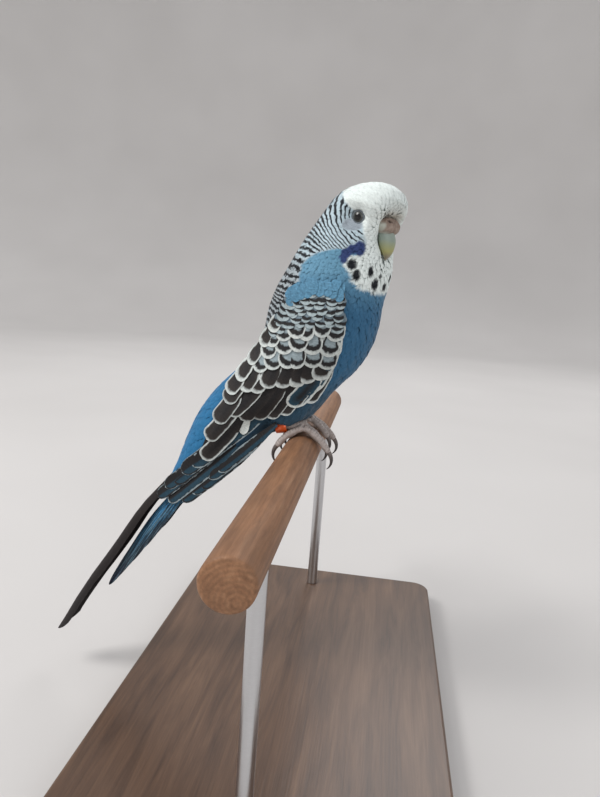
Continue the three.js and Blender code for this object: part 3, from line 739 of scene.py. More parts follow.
def grow_tufts(name, roots, material):
    """One piece of small feathers that lie on the outline, with their roots down at the skin."""
    count = len(roots)
    root, normal = nearest(roots)
    way = lie(root, normal)
    turn = RANDOM.normal(0, TUFT_TURN, count)[:, None]
    side = np.cross(normal, way)
    way = unit(way + side * turn)
    side = np.cross(normal, way)
    gap = spacing(root)
    length = gap * RANDOM.uniform(*TUFT_LENGTH, count)
    width = gap * RANDOM.uniform(*TUFT_WIDTH, count)
    rows, columns = len(TUFT_ROWS), len(TUFT_COLUMNS)
    s = TUFT_ROWS[None, :, None]
    t = TUFT_COLUMNS[None, None, :]
    ends = 1 - TIP_ROUNDING * np.abs(t)**2.2 - TIP_FRINGE * (np.arange(columns) % 2)
    ends = ends + RANDOM.normal(0, TIP_UNEVEN, (count, 1, columns))
    along = s * ends * length[:, None, None]
    half = (0.4 + 0.6 * step(0, 0.5, s)) * (1 - 0.12 * s**4) * width[:, None, None] / 2
    across = t * half
    flat = (root[:, None, None] + way[:, None, None] * along[..., None]
            + side[:, None, None] * across[..., None])
    foot, up = nearest(flat.reshape(-1, 3))
    depth = coat_depth(root)[:, None, None]
    lift = RANDOM.normal(0.0, 0.03, count)[:, None, None] + 0.05
    height = -depth * 0.85 * (1 - s)**2.6 + lift * s - 0.08 * depth * t**2
    height = height.reshape(-1)
    thick = TUFT_THICKNESS * (1 - 0.6 * s**2) * (1 - 0.5 * t**2)
    thick = np.broadcast_to(thick, along.shape).reshape(-1)
    above = (foot + up * height[:, None]).reshape(count, -1, 3)
    below = (foot + up * (height - thick)[:, None]).reshape(count, -1, 3)
    points = np.concatenate([above, below], 1).reshape(-1, 3)
    size = 2 * rows * columns
    faces = repeated(closed_topology(rows, columns), size, count)
    piece = make_piece(name, points, faces, material)
    seed = RANDOM.uniform(0, 400, count)
    per_point = np.repeat(np.arange(count), size)
    vane = np.stack([np.broadcast_to(across, along.shape), along, np.zeros(along.shape)], -1)
    vane = doubled(vane.reshape(count, -1, 3))
    vane[:, 2] = seed[per_point]
    ragged = (RANDOM.normal(0, 0.12, (count, 3)) * gap[:, None])[per_point]
    shift = RANDOM.normal(0, 0.05, count)[per_point]
    surface = doubled(foot.reshape(count, -1, 3))
    paint_coat(piece.data, surface, ragged, vane, shift)
    lean = (0.16 * way)[:, None] * np.ones((1, rows * columns, 1))
    round_off = side[:, None] * (0.28 * np.broadcast_to(t, along.shape).reshape(count, -1, 1))
    facing = unit(up.reshape(count, -1, 3) - lean + round_off)
    facing = np.concatenate([facing, -facing], 1).reshape(-1, 3)
    piece.data.normals_split_custom_set_from_vertices(facing.astype(np.float32).tolist())
    run, _, angle = along_spine(root)
    places = np.stack([even_place(angle), even_place(run)], 1)
    cell = tuft_cells(places)[:, None, None]
    local = np.stack(np.broadcast_arrays(t, 2 * s - 1, along)[:2], -1).reshape(count, -1, 2) / 2
    local = np.concatenate([local, local * 0.8], 1)
    set_map(piece.data, (places[:, None] + local * cell).reshape(-1, 2))


# The most feathers in one piece, and the heights at which the regions of the coat begin and end.
COAT_LIMIT = 1350
COAT_REGIONS = [("head", 72, 200), ("neck", 56, 72), ("body", -100, 56)]


def body_coat(material):
    """All small feathers, in pieces that each take a stretch of the way round the bird."""
    roots = scattered_roots()
    _, _, angle = along_spine(roots)
    for region, low, high in COAT_REGIONS:
        chosen = (roots[:, 2] >= low) & (roots[:, 2] < high)
        there = roots[chosen][np.argsort(angle[chosen])]
        parts = np.array_split(there, math.ceil(len(there) / COAT_LIMIT))
        for number, part in enumerate(parts, 1):
            grow_tufts(f"coat_{region}_{number}", part, material)


# Large feathers of the wings and tail

GRID_X = np.arange(-66, 26)
GRID_Z = np.arange(-40, 70)


def wing_side_map():
    """How far the wing's side stands out from the middle plane, at each millimetre seen from the side."""
    tree = BVHTree.FromPolygons(*joined_nodes(("wing_right", "flight_feathers_right")))
    height = np.full((len(GRID_X), len(GRID_Z)), np.nan)
    for i, x in enumerate(GRID_X.tolist()):
        for j, z in enumerate(GRID_Z.tolist()):
            hit = tree.ray_cast((x, -60, z), (0, 1, 0))[0]
            if hit:
                height[i, j] = -hit[1]
    while np.isnan(height).any():
        around = windows(height)
        known = ~np.isnan(around)
        total = np.where(known, around, 0).sum(0)
        spread = np.where(known.any(0), total / np.maximum(known.sum(0), 1), np.nan)
        height = np.where(np.isnan(height), spread, height)
    for _ in range(3):
        height = windows(height).mean(0)
    return height


def windows(grid):
    """The grid shifted to each of its nine neighbouring places."""
    padded = np.pad(grid, 1, mode="edge")
    high, wide = grid.shape
    return np.stack([padded[i:i + high, j:j + wide] for i in range(3) for j in range(3)])


WING_SIDE = wing_side_map()


def wing_side(flat):
    """Distance of the wing's side from the middle plane at places (x, z)."""
    top = np.array([len(GRID_X), len(GRID_Z)]) - 1.001
    at = np.clip(flat - np.array([GRID_X[0], GRID_Z[0]]), 0, top)
    i, j = np.moveaxis(at.astype(int), -1, 0)
    u, v = np.moveaxis(at % 1, -1, 0)
    low = mix(WING_SIDE[i, j], WING_SIDE[i + 1, j], u)
    high = mix(WING_SIDE[i, j + 1], WING_SIDE[i + 1, j + 1], u)
    return mix(low, high, v)


VANE_COLUMNS = np.array([-1, -0.88, -0.68, -0.42, -0.18, -0.05, 0.05, 0.18, 0.42, 0.68, 0.88, 1])
BLADE_ROWS = 12
TIP_ROWS = 8
VANE_THICKNESS = 0.1
TIP_SWEEP = math.radians(86)
WIDTH_UNEVEN = 0.012
# How much the large feathers of a wing differ: lengths and widths in shares, ways and tips in mm.
LENGTH_SPREAD, WIDTH_SPREAD = 0.02, 0.04
WAY_SPREAD, TIP_SPREAD = 0.42, 0.4


class Vanes:
    """A set of large feathers side by side. Each has a grid of points on its vane: share of its
    length s, and millimetres along and across it."""

    def __init__(self, length, half, tip_length, root_share=0.45):
        count = len(length)
        blunt = 1 - tip_length / length
        blade = np.linspace(0, 1, BLADE_ROWS, endpoint=False)[None] * blunt[:, None]
        turn = np.linspace(0, TIP_SWEEP, TIP_ROWS)[None]
        tip = blunt[:, None] + (1 - blunt[:, None]) * np.sin(turn)
        share = np.concatenate([blade, tip], 1)
        width = np.concatenate([np.ones_like(blade), np.cos(turn) + np.zeros_like(tip)], 1)
        width = width * half[:, None] * mix(root_share, 1, step(0, 0.4, share))
        rough = 1 + RANDOM.normal(0, WIDTH_UNEVEN, (count, share.shape[1], 2))
        sides = np.repeat(rough, len(VANE_COLUMNS) // 2, 2)
        self.count, self.rows, self.columns = count, share.shape[1], len(VANE_COLUMNS)
        self.t = np.broadcast_to(VANE_COLUMNS, (count, self.rows, self.columns))
        self.s = np.broadcast_to(share[..., None], self.t.shape)
        self.along = self.s * length[:, None, None]
        self.across = self.t * width[..., None] * sides
        self.width = width

    def edge(self, side_weight):
        """Distance from the vane's outline. The sides count side_weight times as far."""
        rim = np.stack([self.along[..., [0, -1]], self.across[..., [0, -1]] * side_weight], -1)
        rim = rim[:, 4:].reshape(self.count, 1, -1, 2)
        points = np.stack([self.along, self.across * side_weight], -1).reshape(self.count, -1, 1, 2)
        return np.sqrt(((points - rim)**2).sum(-1)).min(2)


def vane_piece(name, vanes, points, outward, material, replaces=(), side_weight=1.6):
    """Solid feathers from the points of their upper faces."""
    size = vanes.rows * vanes.columns
    du = np.gradient(points, axis=1)
    dv = np.gradient(points, axis=2)
    normal = unit(np.cross(dv, du))
    normal = normal * np.sign((normal * outward).sum(-1, keepdims=True))
    thick = VANE_THICKNESS * (1 + 1.5 * np.exp(-(vanes.t / 0.12)**2) * (1 - vanes.s)**0.5)
    below = points - normal * thick[..., None]
    shape = (vanes.count, size, 3)
    both = np.concatenate([points.reshape(shape), below.reshape(shape)], 1).reshape(-1, 3)
    facing = np.concatenate([normal.reshape(shape), -normal.reshape(shape)], 1).reshape(-1, 3)
    faces = repeated(closed_topology(vanes.rows, vanes.columns), 2 * size, vanes.count)
    first = faces[0]
    turned = np.cross(both[first[1]] - both[first[0]], both[first[2]] - both[first[0]])
    if np.dot(turned, facing[first[0]]) < 0:
        faces = faces[:, ::-1]
    piece = make_piece(name, both, faces, material, replaces)
    seed = np.repeat(RANDOM.uniform(0, 400, vanes.count), size).reshape(vanes.t.shape)
    vane = np.stack([vanes.across, vanes.along, seed], -1).reshape(shape)
    flat = (vanes.count, -1)
    for key, values in (("vane", vane), ("edge", vanes.edge(side_weight)),
                        ("share", vanes.s.reshape(flat)), ("web", vanes.t.reshape(flat))):
        set_attribute(piece.data, key, doubled(values))
    piece.data.normals_split_custom_set_from_vertices(facing.astype(np.float32).tolist())
    wide = math.ceil(math.sqrt(vanes.count))
    cell = np.stack([np.arange(vanes.count) % wide, np.arange(vanes.count) // wide], 1)[:, None]
    local = np.stack([vanes.across / vanes.width.max(), 2 * vanes.s - 1], -1)
    local = local.reshape(vanes.count, -1, 2)
    local = np.concatenate([local, local * 0.96], 1) * 0.46
    set_map(piece.data, ((cell + 0.5 + local) / wide).reshape(-1, 2))


def wing_row(tips, count, ways, lengths, halves, lifts, blunt=0.9, bend=0.0, cant=0.14):
    """Feathers of one row of the wing, from the front one to the rear one: tips on a smooth line,
    ways to the tip, lengths, half widths, and how far the roots and tips lie under the wing's side."""
    share = np.linspace(0, 1, count)
    tip = smooth_line(tips, count) if len(tips) > 1 else np.array(tips, float)
    way = unit(mix(np.array(ways[0], float), np.array(ways[-1], float), share[:, None]))
    alike = {"root_lift": lifts[0], "tip_lift": lifts[1], "blunt": blunt, "bend": bend, "cant": cant}
    return {
        "tip": tip, "way": way, "length": mix(lengths[0], lengths[-1], share),
        "half": mix(halves[0], halves[-1], share),
        **{key: np.full(count, value) for key, value in alike.items()},
    }


def wing_feathers(name, rows, material, replaces=(), side_weight=1.6):
    """The same feathers on the right wing and, mirrored, on the left one."""
    data = {key: np.concatenate([row[key] for row in rows]) for key in rows[0]}
    count = len(data["length"])
    length = data["length"] * RANDOM.normal(1, LENGTH_SPREAD, count)
    way = unit(data["way"] + RANDOM.normal(0, 1, (count, 2)) * (WAY_SPREAD / length)[:, None])
    half = data["half"] * RANDOM.normal(1, WIDTH_SPREAD, count)
    vanes = Vanes(length, half, half * data["blunt"])
    stray = RANDOM.normal(0, TIP_SPREAD, (count, 2))
    tip = data["tip"] + stray * np.minimum(1, data["half"] / 2.6)[:, None]
    root = tip - way * length[:, None]
    outer = np.stack([-way[:, 1], way[:, 0]], 1)
    s, t = vanes.s, vanes.t
    bow = data["bend"][:, None, None] * 4 * s * (1 - s)
    flat = (root[:, None, None] + way[:, None, None] * vanes.along[..., None]
            + outer[:, None, None] * (vanes.across + bow)[..., None])
    rise = s**0.7
    lift = mix(data["root_lift"][:, None, None], data["tip_lift"][:, None, None], rise)
    width = vanes.width.max(1)[:, None, None]
    lift = lift + data["cant"][:, None, None] * t - 0.035 * width * t**2
    lift = lift + 0.07 * np.exp(-(t / 0.1)**2) + RANDOM.normal(0, 0.03, count)[:, None, None]
    out = wing_side(flat) + lift
    points = np.stack([flat[..., 0], -out, flat[..., 1]], -1)
    for side, label in ((1, "right"), (-1, "left")):
        there = points * (1, side, 1)
        names = [f"{node}_{label}" for node in replaces]
        vane_piece(f"{name}_{label}", vanes, there, np.array([0, -side, 0]), material, names,
                   side_weight)


DARK = (0.020, 0.019, 0.020)
BROWN_BLACK = (0.034, 0.029, 0.027)
RIM_WHITE = (0.60, 0.64, 0.62)
PALE_RIM = (0.50, 0.54, 0.53)
DIM_RIM = (0.34, 0.41, 0.43)
DIM_PALE = (0.16, 0.21, 0.245)
SHOULDER_BLUE = (0.093, 0.23, 0.35)
PALE = (0.27, 0.33, 0.355)
TEAL = (0.022, 0.062, 0.095)

# The two edges of the wing's solid part, from the shoulder back: forward, up.
WING_UPPER = [(7, 57), (-2, 54), (-11, 47.5), (-19.5, 38), (-25.5, 29), (-31, 15), (-35.5, 3),
              (-38.5, -6)]
WING_LOWER = [(12.3, 52), (12, 43), (9.9, 34), (5, 26), (-4, 17.5), (-14, 12.5), (-25, 6),
              (-36.5, -5.5)]

LESSER_TOP = np.array([(9.6, 56.2), (4.5, 57.6), (-2, 56.6), (-7.6, 53.4)])
LESSER_LOW = np.array([(10.6, 44.6), (6.4, 46.0), (-5.6, 44.6), (-12.6, 41.2)])
LESSER_ROWS = [
    wing_row(mix(LESSER_TOP, LESSER_LOW, i / 6), 8 - i % 2, [(0, -1), (-0.32, -1)], [5.0], [1.95],
             (-0.8 - 3.2 * (1 - i / 2.5) * (i < 3), -0.2 * (i == 1)))
    for i in range(1, 7)
]
SHOULDER_ROWS = [
    wing_row(LESSER_TOP + np.array([0.3, rise]), 9 - i, [(0.1, -1), (-0.25, -1)], [5.0], [1.7],
             (-1.9 - 2.7 * i, -0.1 - 0.5 * i))
    for i, rise in enumerate((-0.9, 1.1))
]
MEDIAN_ROWS = [
    wing_row([(9.4, 41.6), (5.2, 42.4), (-6.5, 41.2), (-13.6, 38)], 6, [(-0.1, -1), (-0.4, -1)], [8], [3.0],
             (-1.0, -0.02)),
    wing_row([(8.4, 37.0), (4.4, 37.6), (-7.2, 36.3), (-14.8, 34)], 5, [(-0.15, -1), (-0.4, -1)], [8.5],
             [3.4], (-1.1, -0.05)),
    wing_row([(6.6, 32.0), (2.6, 32.2), (-9.3, 31), (-17.2, 29)], 6, [(-0.2, -1), (-0.45, -1)], [9], [3.3],
             (-1.1, -0.1)),
]
GREATER_ROWS = [
    wing_row([(4.4, 27.0), (0, 26.2), (-12, 23.6), (-22.6, 22)], 7, [(-0.28, -1), (-0.5, -0.87)], [11, 12],
             [3.1, 3.4], (-1.3, -0.3), bend=0.5),
]
SCAPULAR_ROWS = [
    wing_row([(-13.8, 43.6), (-19.0, 34.8), (-23.4, 27), (-28.2, 19.6)], 5,
             [(-0.35, -0.94), (-0.55, -0.84)], [7, 11], [2.2, 2.9], (-0.9, 0.2), bend=0.3),
]
SECONDARY_ROWS = [
    wing_row([(0.9, 19.4), (-4.4, 17.4), (-11, 13.4), (-16.5, 11.4), (-22, 11.2), (-26.8, 12.6)], 7,
             [(-0.42, -0.91), (-0.62, -0.78)], [20, 22], [2.7, 3.1], (-1.7, -0.75), bend=0.8, cant=0.3),
]
TERTIAL_ROWS = [
    wing_row([(-36.8, -5.2), (-35.2, 1.5), (-31.6, 8.4), (-28.8, 16)], 4, [(-0.66, -0.75), (-0.5, -0.87)],
             [24, 16], [3.0, 3.3], (-1.3, -0.45), bend=0.5, cant=0.3),
]
PRIMARY_ROWS = [
    wing_row([(-29.8, -9.6), (-36.4, -16.6), (-41.6, -21.8), (-45.5, -24.8), (-49.6, -25.6), (-53.4, -25.2),
              (-54.9, -23), (-50.6, -19.2), (-45.6, -14.6), (-40.6, -9.6)], 11,
             [(-0.715, -0.70), (-0.73, -0.68)], [29, 46], [2.2, 3.0], (-2.0, -1.25), blunt=1.5, bend=0.3,
             cant=0.32),
]
EDGE_ROWS = [
    wing_row([(10.6, 37)], 1, [(0.0, -1)], [17], [1.5], (-1.0, -0.6), blunt=2.0, cant=0.1),
    wing_row([(6.0, 28.4)], 1, [(-0.24, -1)], [19], [1.9], (-1.0, -0.5), blunt=2.2, bend=1.5, cant=0.1),
    wing_row([(1.2, 22.8)], 1, [(-0.42, -1)], [19], [2.4], (-1.3, -0.8), blunt=1.8, bend=1.8, cant=0.1),
    wing_row([(-5.4, 17.6)], 1, [(-0.6, -1)], [19], [3.1], (-1.2, -0.6), blunt=1.3, bend=1.6, cant=0.1),
]
STRAY_ROWS = [wing_row([(-21.2, 5.6)], 1, [(-0.12, -1)], [11], [1.9], (-1.3, -0.7), blunt=1.4)]


def wings():
    base = vane_material("wing_base", [(0, BROWN_BLACK), (3, DARK)])
    lesser = vane_material("lesser_coverts", [(0, DIM_RIM), (0.75, DIM_RIM), (1.15, DARK), (1.95, DARK),
                                              (2.35, DIM_PALE), (4, DIM_PALE)], length=5.0)
    median = vane_material("median_coverts", [(0, RIM_WHITE), (1.15, PALE_RIM), (1.7, DARK), (2.9, DARK),
                                              (3.5, PALE), (5, PALE)])
    greater = vane_material("greater_coverts", [(0, RIM_WHITE), (1.0, PALE_RIM), (1.9, BROWN_BLACK),
                                                (5, DARK)])
    flight = vane_material("secondaries", [(0, RIM_WHITE), (0.45, PALE_RIM), (1.2, BROWN_BLACK),
                                           (5, DARK)])
    primary = vane_material("primaries", [(0, PALE), (0.1, PALE), (0.35, DARK), (4, DARK)], TEAL, 0.85)
    edge = vane_material("edge_coverts", [(0, RIM_WHITE), (0.55, RIM_WHITE), (0.95, TEAL), (4, DARK)])
    shoulder = vane_material("shoulder", [(0, SHOULDER_BLUE), (4, SHOULDER_BLUE)], streak=0.35)
    white = vane_material("stray_feather", [(0, RIM_WHITE), (4, RIM_WHITE)])
    wing_plates(base)
    wing_feathers("primaries", PRIMARY_ROWS, primary, ("flight_feathers",), 1.0)
    wing_feathers("secondaries", SECONDARY_ROWS, flight, side_weight=2.4)
    wing_feathers("tertials", TERTIAL_ROWS, flight, side_weight=1.8)
    wing_feathers("edge_coverts", EDGE_ROWS, edge, side_weight=1.3)
    wing_feathers("stray_feather", STRAY_ROWS, white)
    wing_feathers("greater_coverts", GREATER_ROWS, greater, side_weight=2.6)
    wing_feathers("median_coverts", MEDIAN_ROWS, median, ("wing",), 3.4)
    wing_feathers("lesser_coverts", LESSER_ROWS, lesser, side_weight=6.0)
    wing_feathers("shoulder_feathers", SHOULDER_ROWS, shoulder)
    wing_feathers("scapulars", SCAPULAR_ROWS, greater, side_weight=3.0)


def wing_plates(material):
    """The solid part under the wing's feathers."""
    rows, columns = 30, 12
    upper = smooth_line(WING_UPPER, rows)[:, None]
    lower = smooth_line(WING_LOWER, rows)[:, None]
    across = np.linspace(0.1, 0.9, columns)[None, :, None]
    flat = mix(upper, lower, across)
    rim = 1 - np.abs(across[..., 0] * 2 - 1)**4
    top = wing_side(flat) - 1.5
    out = np.stack([top, top - 1.6 * rim - 0.2])
    for side, label in ((-1, "right"), (1, "left")):
        forward, up = (np.broadcast_to(flat[..., k], out.shape) for k in (0, 1))
        points = np.stack([forward, side * out, up], -1).reshape(-1, 3)
        faces = closed_topology(rows, columns)[:, ::-side]
        piece = make_piece(f"wing_base_{label}", points, faces, material)
        set_attribute(piece.data, "edge", np.full(len(points), 3.0))
        set_attribute(piece.data, "vane", points)


# Tail

# The middle line of the two centre feathers: forward, up, and how far they arch out there.
TAIL_CENTRE = [((-48, -13.5), 1.2), ((-55, -23.5), 3.6), ((-62, -33), 4.4), ((-72.2, -50), 4.6),
               ((-84.6, -69.2), 4.6), ((-92.5, -81.5), 3.4), ((-97.6, -89), 0.6)]
CENTRE_SHARES = np.array([0.985, 1.0])
CENTRE_HALF = 4.3
CENTRE_TIP = 10.0
CENTRE_ROOT = 0.75
CENTRE_SPREAD = 0.7
CENTRE_CURVE = 0.17
TAIL_SIDE = [(-43, -17), (-53.5, -31.5), (-59.6, -41), (-65.2, -51), (-70.4, -60), (-74.2, -66.4)]
SIDE_SHARES = np.array([0.50, 0.68, 0.84, 1.0])
TAIL_STEPS = 200
TAIL_TILT = math.radians(52)


def tail_frame(line, s):
    """Places on the tail's line at the shares s of its length, and the way out of its upper face."""
    at = np.linspace(0, 1, TAIL_STEPS)
    ahead = unit(np.gradient(line, axis=0))
    place = upright(*(np.interp(s, at, values) for values in line.T))
    out = upright(np.interp(s, at, ahead[:, 1]), -np.interp(s, at, ahead[:, 0]))
    return place, out


def tail():
    """The two long centre feathers, and under them four blue ones on each side."""
    centre = vane_material("tail_centre", [(0, (0.026, 0.021, 0.021)), (0.4, (0.013, 0.010, 0.010)),
                                           (4, (0.017, 0.013, 0.013))], streak=0.2)
    side_blue = tail_side_material()
    across = np.array([0, 1, 0])
    middle, arches = zip(*TAIL_CENTRE)
    line = smooth_line(middle, TAIL_STEPS)
    lengths = run_along(line)[-1] * CENTRE_SHARES
    vanes = Vanes(lengths, np.full(2, CENTRE_HALF), np.full(2, CENTRE_TIP), CENTRE_ROOT)
    place, out = tail_frame(line, vanes.s * CENTRE_SHARES[:, None, None])
    offset = np.array([1.0, -1.0])[:, None, None]
    sideways = vanes.across + CENTRE_SPREAD * offset * (1 - vanes.s)
    arch = np.interp(vanes.s, np.linspace(0, 1, len(arches)), arches)
    raised = 0.5 * arch - CENTRE_CURVE * sideways**2 + 0.3
    raised = raised - np.array([0.3, 0.0])[:, None, None]
    points = place + across * sideways[..., None] + out * raised[..., None]
    vane_piece("tail_centre_feathers", vanes, points, out, centre, ("tail_centre",), 1.5)
    line = smooth_line(TAIL_SIDE, TAIL_STEPS)
    lengths = run_along(line)[-1] * SIDE_SHARES
    for side, label in ((-1, "right"), (1, "left")):
        vanes = Vanes(lengths, np.array([2.2, 2.3, 2.3, 2.3]), lengths * 0.3, 0.4)
        down = vanes.s * SIDE_SHARES[:, None, None]
        place, out = tail_frame(line, down)
        order = np.arange(4)[:, None, None]
        base = side * mix(3.4, 2.2, down)
        u = vanes.across * side * -1 + side * (2.3 - 1.25 * order) * mix(0.5, 1.0, vanes.s)
        v = -0.35 * (3 - order) + 0.6 - 0.06 * vanes.across**2
        tilt = side * TAIL_TILT
        sideways = base + u * math.cos(tilt) + v * math.sin(tilt)
        raised = v * math.cos(tilt) - u * math.sin(tilt)
        points = place + across * sideways[..., None] + out * raised[..., None]
        facing = out * math.cos(tilt) + across * math.sin(tilt)
        vane_piece(f"tail_side_feathers_{label}", vanes, points, facing, side_blue,
                   (f"tail_side_{label}",), 1.0)


def tail_side_material():
    s = Shader("tail_side", Roughness=0.6, Specular_IOR_Level=0.2)
    vane = s.attribute("vane", "Vector")
    barbs = s.noise(s.scaled(vane, (1.1, 1.6, 1.0)), 1.0, 4)
    along = s.ramp(s.attribute("share"), [(0.2, (0.045, 0.22, 0.44)), (0.5, (0.035, 0.13, 0.23)),
                                          (0.75, (0.04, 0.062, 0.085)), (1.0, (0.04, 0.045, 0.09))])
    away = s.plus(s.attribute("edge"), s.span(barbs, 0, 1, -0.2, 0.2, False))
    rim = s.span(away, 0.25, 0.7, 1, 0)
    colour = s.blend(along, (0.016, 0.022, 0.03), s.times(rim, 0.85))
    shaft = s.span(s.math("ABSOLUTE", s.attribute("web")), 0.03, 0.12, 0.8, 0.0)
    colour = s.blend(colour, (0.014, 0.016, 0.02), shaft)
    streaks = s.noise(s.scaled(vane, (2.2, 0.06, 1.0)), 1.0, 2)
    colour = s.blend(colour, (0.018, 0.024, 0.032), s.span(streaks, 0.50, 0.58, 0.0, 0.8))
    colour = s.blend(colour, (0.16, 0.27, 0.33), s.span(streaks, 0.40, 0.45, 0.6, 0.0))
    s.colour(s.shaded(colour, s.span(barbs, 0.25, 0.75, 0.6, 1.3, False)))
    s.bump(barbs, 0.1, 0.6)
    return s.material


# Eyes, cere and bill

def lathe(profile, centre, axis, sides, wobble=None):
    """Rings of points round an axis: profile rows are (along the axis, radius)."""
    axis = unit(np.array(axis, float))
    first = unit(np.cross(axis, (0, 0, 1) if abs(axis[2]) < 0.9 else (0, 1, 0)))
    second = np.cross(axis, first)
    turn = full_turn(sides)
    ring = np.cos(turn)[:, None] * first + np.sin(turn)[:, None] * second
    profile = np.array(profile, float)
    radius = profile[:, 1, None] * (1 if wobble is None else wobble(turn)[None])
    points = np.array(centre) + profile[:, 0, None, None] * axis + ring[None] * radius[..., None]
    return points.reshape(-1, 3), ring_faces(len(profile), sides)


def ring_faces(rings, sides):
    """Quads between rings of points, and a polygon on each end."""
    faces = []
    for r in range(rings - 1):
        for i in range(sides):
            j = (i + 1) % sides
            faces.append([r * sides + i, r * sides + j, (r + 1) * sides + j, (r + 1) * sides + i])
    faces.append(list(range(sides))[::-1])
    faces.append([(rings - 1) * sides + i for i in range(sides)])
    return faces


PUPIL_BLACK = (0.004, 0.004, 0.005)
PUPIL_RADIUS = 1.08
IRIS_RADIUS = 1.6
LID_RADIUS = 2.0
LID_BEADS = 26
EYE_SIDES = 56
LID_SIDES = 4 * LID_BEADS


def eye_material():
    """A black pupil in a dark iris, by the distance from the eye's axis."""
    s = Shader("eye", Roughness=0.3, Specular_IOR_Level=0.2, Coat_Weight=0.55, Coat_Roughness=0.02)
    flecks = s.span(s.noise(s.place(), 2600, 2), 0, 1, -0.08, 0.08, False)
    out = s.plus(s.attribute("edge"), flecks)
    pupil, iris = PUPIL_RADIUS / EYE_RADIUS, IRIS_RADIUS / EYE_RADIUS
    s.colour(s.ramp(s.math("DIVIDE", out, EYE_RADIUS), [
        (0.0, PUPIL_BLACK), (pupil, PUPIL_BLACK), (pupil + 0.05, (0.042, 0.045, 0.040)),
        (iris, (0.075, 0.080, 0.072)), (iris + 0.06, (0.03, 0.03, 0.035))]))
    return s.material


def lid_material():
    s = Shader("eyelid", Roughness=0.6)
    grain = s.noise(s.place(), 900, 3)
    s.colour(s.ramp(grain, [(0.3, (0.085, 0.10, 0.115)), (0.7, (0.17, 0.20, 0.22))]))
    s.bump(grain, 0.05)
    return s.material


def eyes():
    """Two eyeballs, each with a ring of beads as its lid."""
    ball_look, lid_look = eye_material(), lid_material()
    for side, label in ((-1, "right"), (1, "left")):
        mirrored = np.array([1, side, 1])
        centre = np.array(EYE_AT) * mirrored
        way = unit(np.array(EYE_WAY) * mirrored)
        angle = np.radians(np.linspace(1, 110, 34))
        bulge = EYE_RADIUS + 0.12 * (1 - step(0, 0.75, angle))
        profile = np.stack([np.cos(angle) * bulge, np.sin(angle) * bulge], 1)
        points, faces = lathe(profile, centre, way, EYE_SIDES)
        eye = make_piece(f"eyeball_{label}", from_head(points), faces, ball_look,
                         (f"eye_{label}",))
        set_attribute(eye.data, "edge", np.repeat(profile[:, 1], EYE_SIDES))
        turn = full_turn(14)
        lift = math.sqrt(EYE_RADIUS**2 - LID_RADIUS**2)
        ring = np.stack([lift + 0.40 * np.sin(turn) + 0.02, LID_RADIUS + 0.36 * np.cos(turn)], 1)
        ring = np.vstack([ring, ring[:1]])
        points, faces = lathe(ring, centre, way, LID_SIDES,
                              lambda a: 1 + 0.025 * np.cos(LID_BEADS * a))
        faces = [face[::side] for face in faces[:-2]]
        make_piece(f"eyelid_{label}", from_head(points), faces, lid_look)


NOSTRIL_AT = (2.2, 3.1, 1.5)


def cere_material():
    """Crusty brown skin, paler at the rim, with painted shade in the nostrils."""
    s = Shader("cere", Roughness=0.7)
    crust = s.noise(s.place(), 620, 5, 0.65)
    patch = s.noise(s.place(), 210, 2)
    flesh = s.ramp(crust, [(0.3, (0.13, 0.085, 0.065)), (0.5, (0.26, 0.19, 0.15)),
                           (0.75, (0.38, 0.31, 0.26))])
    pale = s.times(s.attribute("rim"), s.span(patch, 0.3, 0.6, 0.75, 1.0))
    colour = s.blend(flesh, (0.46, 0.49, 0.43), pale)
    # Painted shade darkens the nostrils' openings.
    s.colour(s.blend(colour, (0.035, 0.022, 0.018), s.attribute("nostril_dent_and_shade")))
    s.bump(crust, 0.35, 0.8)
    return s.material


def cere():
    """The bare skin over the bill: a ball with a cleft down its middle and two nostrils."""
    rings, sides = 44, 72
    polar = np.linspace(0.02, math.pi - 0.02, rings)[:, None]
    turn = full_turn(sides)[None]
    unit_ball = np.stack([np.sin(polar) * np.cos(turn), np.sin(polar) * np.sin(turn),
                          np.repeat(np.cos(polar), sides, 1)], -1)
    front = np.clip(unit_ball[..., 0], 0, 1)
    cleft = 0.15 * np.exp(-(unit_ball[..., 1] / 0.22)**2) * front
    local = unit_ball * CERE_HALF * (1 - cleft)[..., None]
    nostril = np.array(NOSTRIL_AT)
    apart = np.linalg.norm((local * (1, 0, 1) + (0, 1, 0) * np.abs(local)) - nostril, axis=-1)
    # Shallow dents for the nostrils; the same shares set the painted shade in them.
    nostril_dent_and_shade = np.exp(-(apart / 0.55)**2) * 0.75
    swell = np.exp(-((apart - 1.15) / 0.5)**2) * 0.14
    local = local * (1 + (swell - nostril_dent_and_shade)[..., None] / 3.4)
    points = (local + CERE_AT).reshape(-1, 3)
    piece = make_piece("cere_skin", from_head(points), ring_faces(rings, sides), cere_material(),
                       ("cere",))
    ball = unit_ball.reshape(-1, 3)
    low = step(0.45, 0.8, -ball[:, 2]) * step(0.2, 0.6, np.abs(ball[:, 1]))
    outer = step(0.72, 0.9, np.abs(ball[:, 1])) * (1 - step(0.0, 0.5, ball[:, 2]))
    set_attribute(piece.data, "rim", np.clip(np.maximum(low * 0.8, outer), 0, 1))
    # How much painted shade each point of the nostrils gets.
    set_attribute(piece.data, "nostril_dent_and_shade", np.clip(nostril_dent_and_shade.reshape(-1) * 1.5, 0, 1))


# Rows down the bill in the head's frame: forward, up, half across, half through.
BILL_UPPER = [(11.4, -4.0, 3.5, 2.3), (12.0, -6.6, 3.7, 2.7), (12.3, -8.6, 3.3, 2.5),
              (12.5, -10.4, 2.4, 1.9), (12.3, -12, 1.3, 1.1), (11.8, -13.5, 0.22, 0.22)]
BILL_LOWER = [(7.8, -8.2, 2.6, 1.5), (8.6, -9.6, 2.7, 1.6), (9.2, -11, 2.2, 1.2), (9.6, -12.1, 1.1, 0.5)]


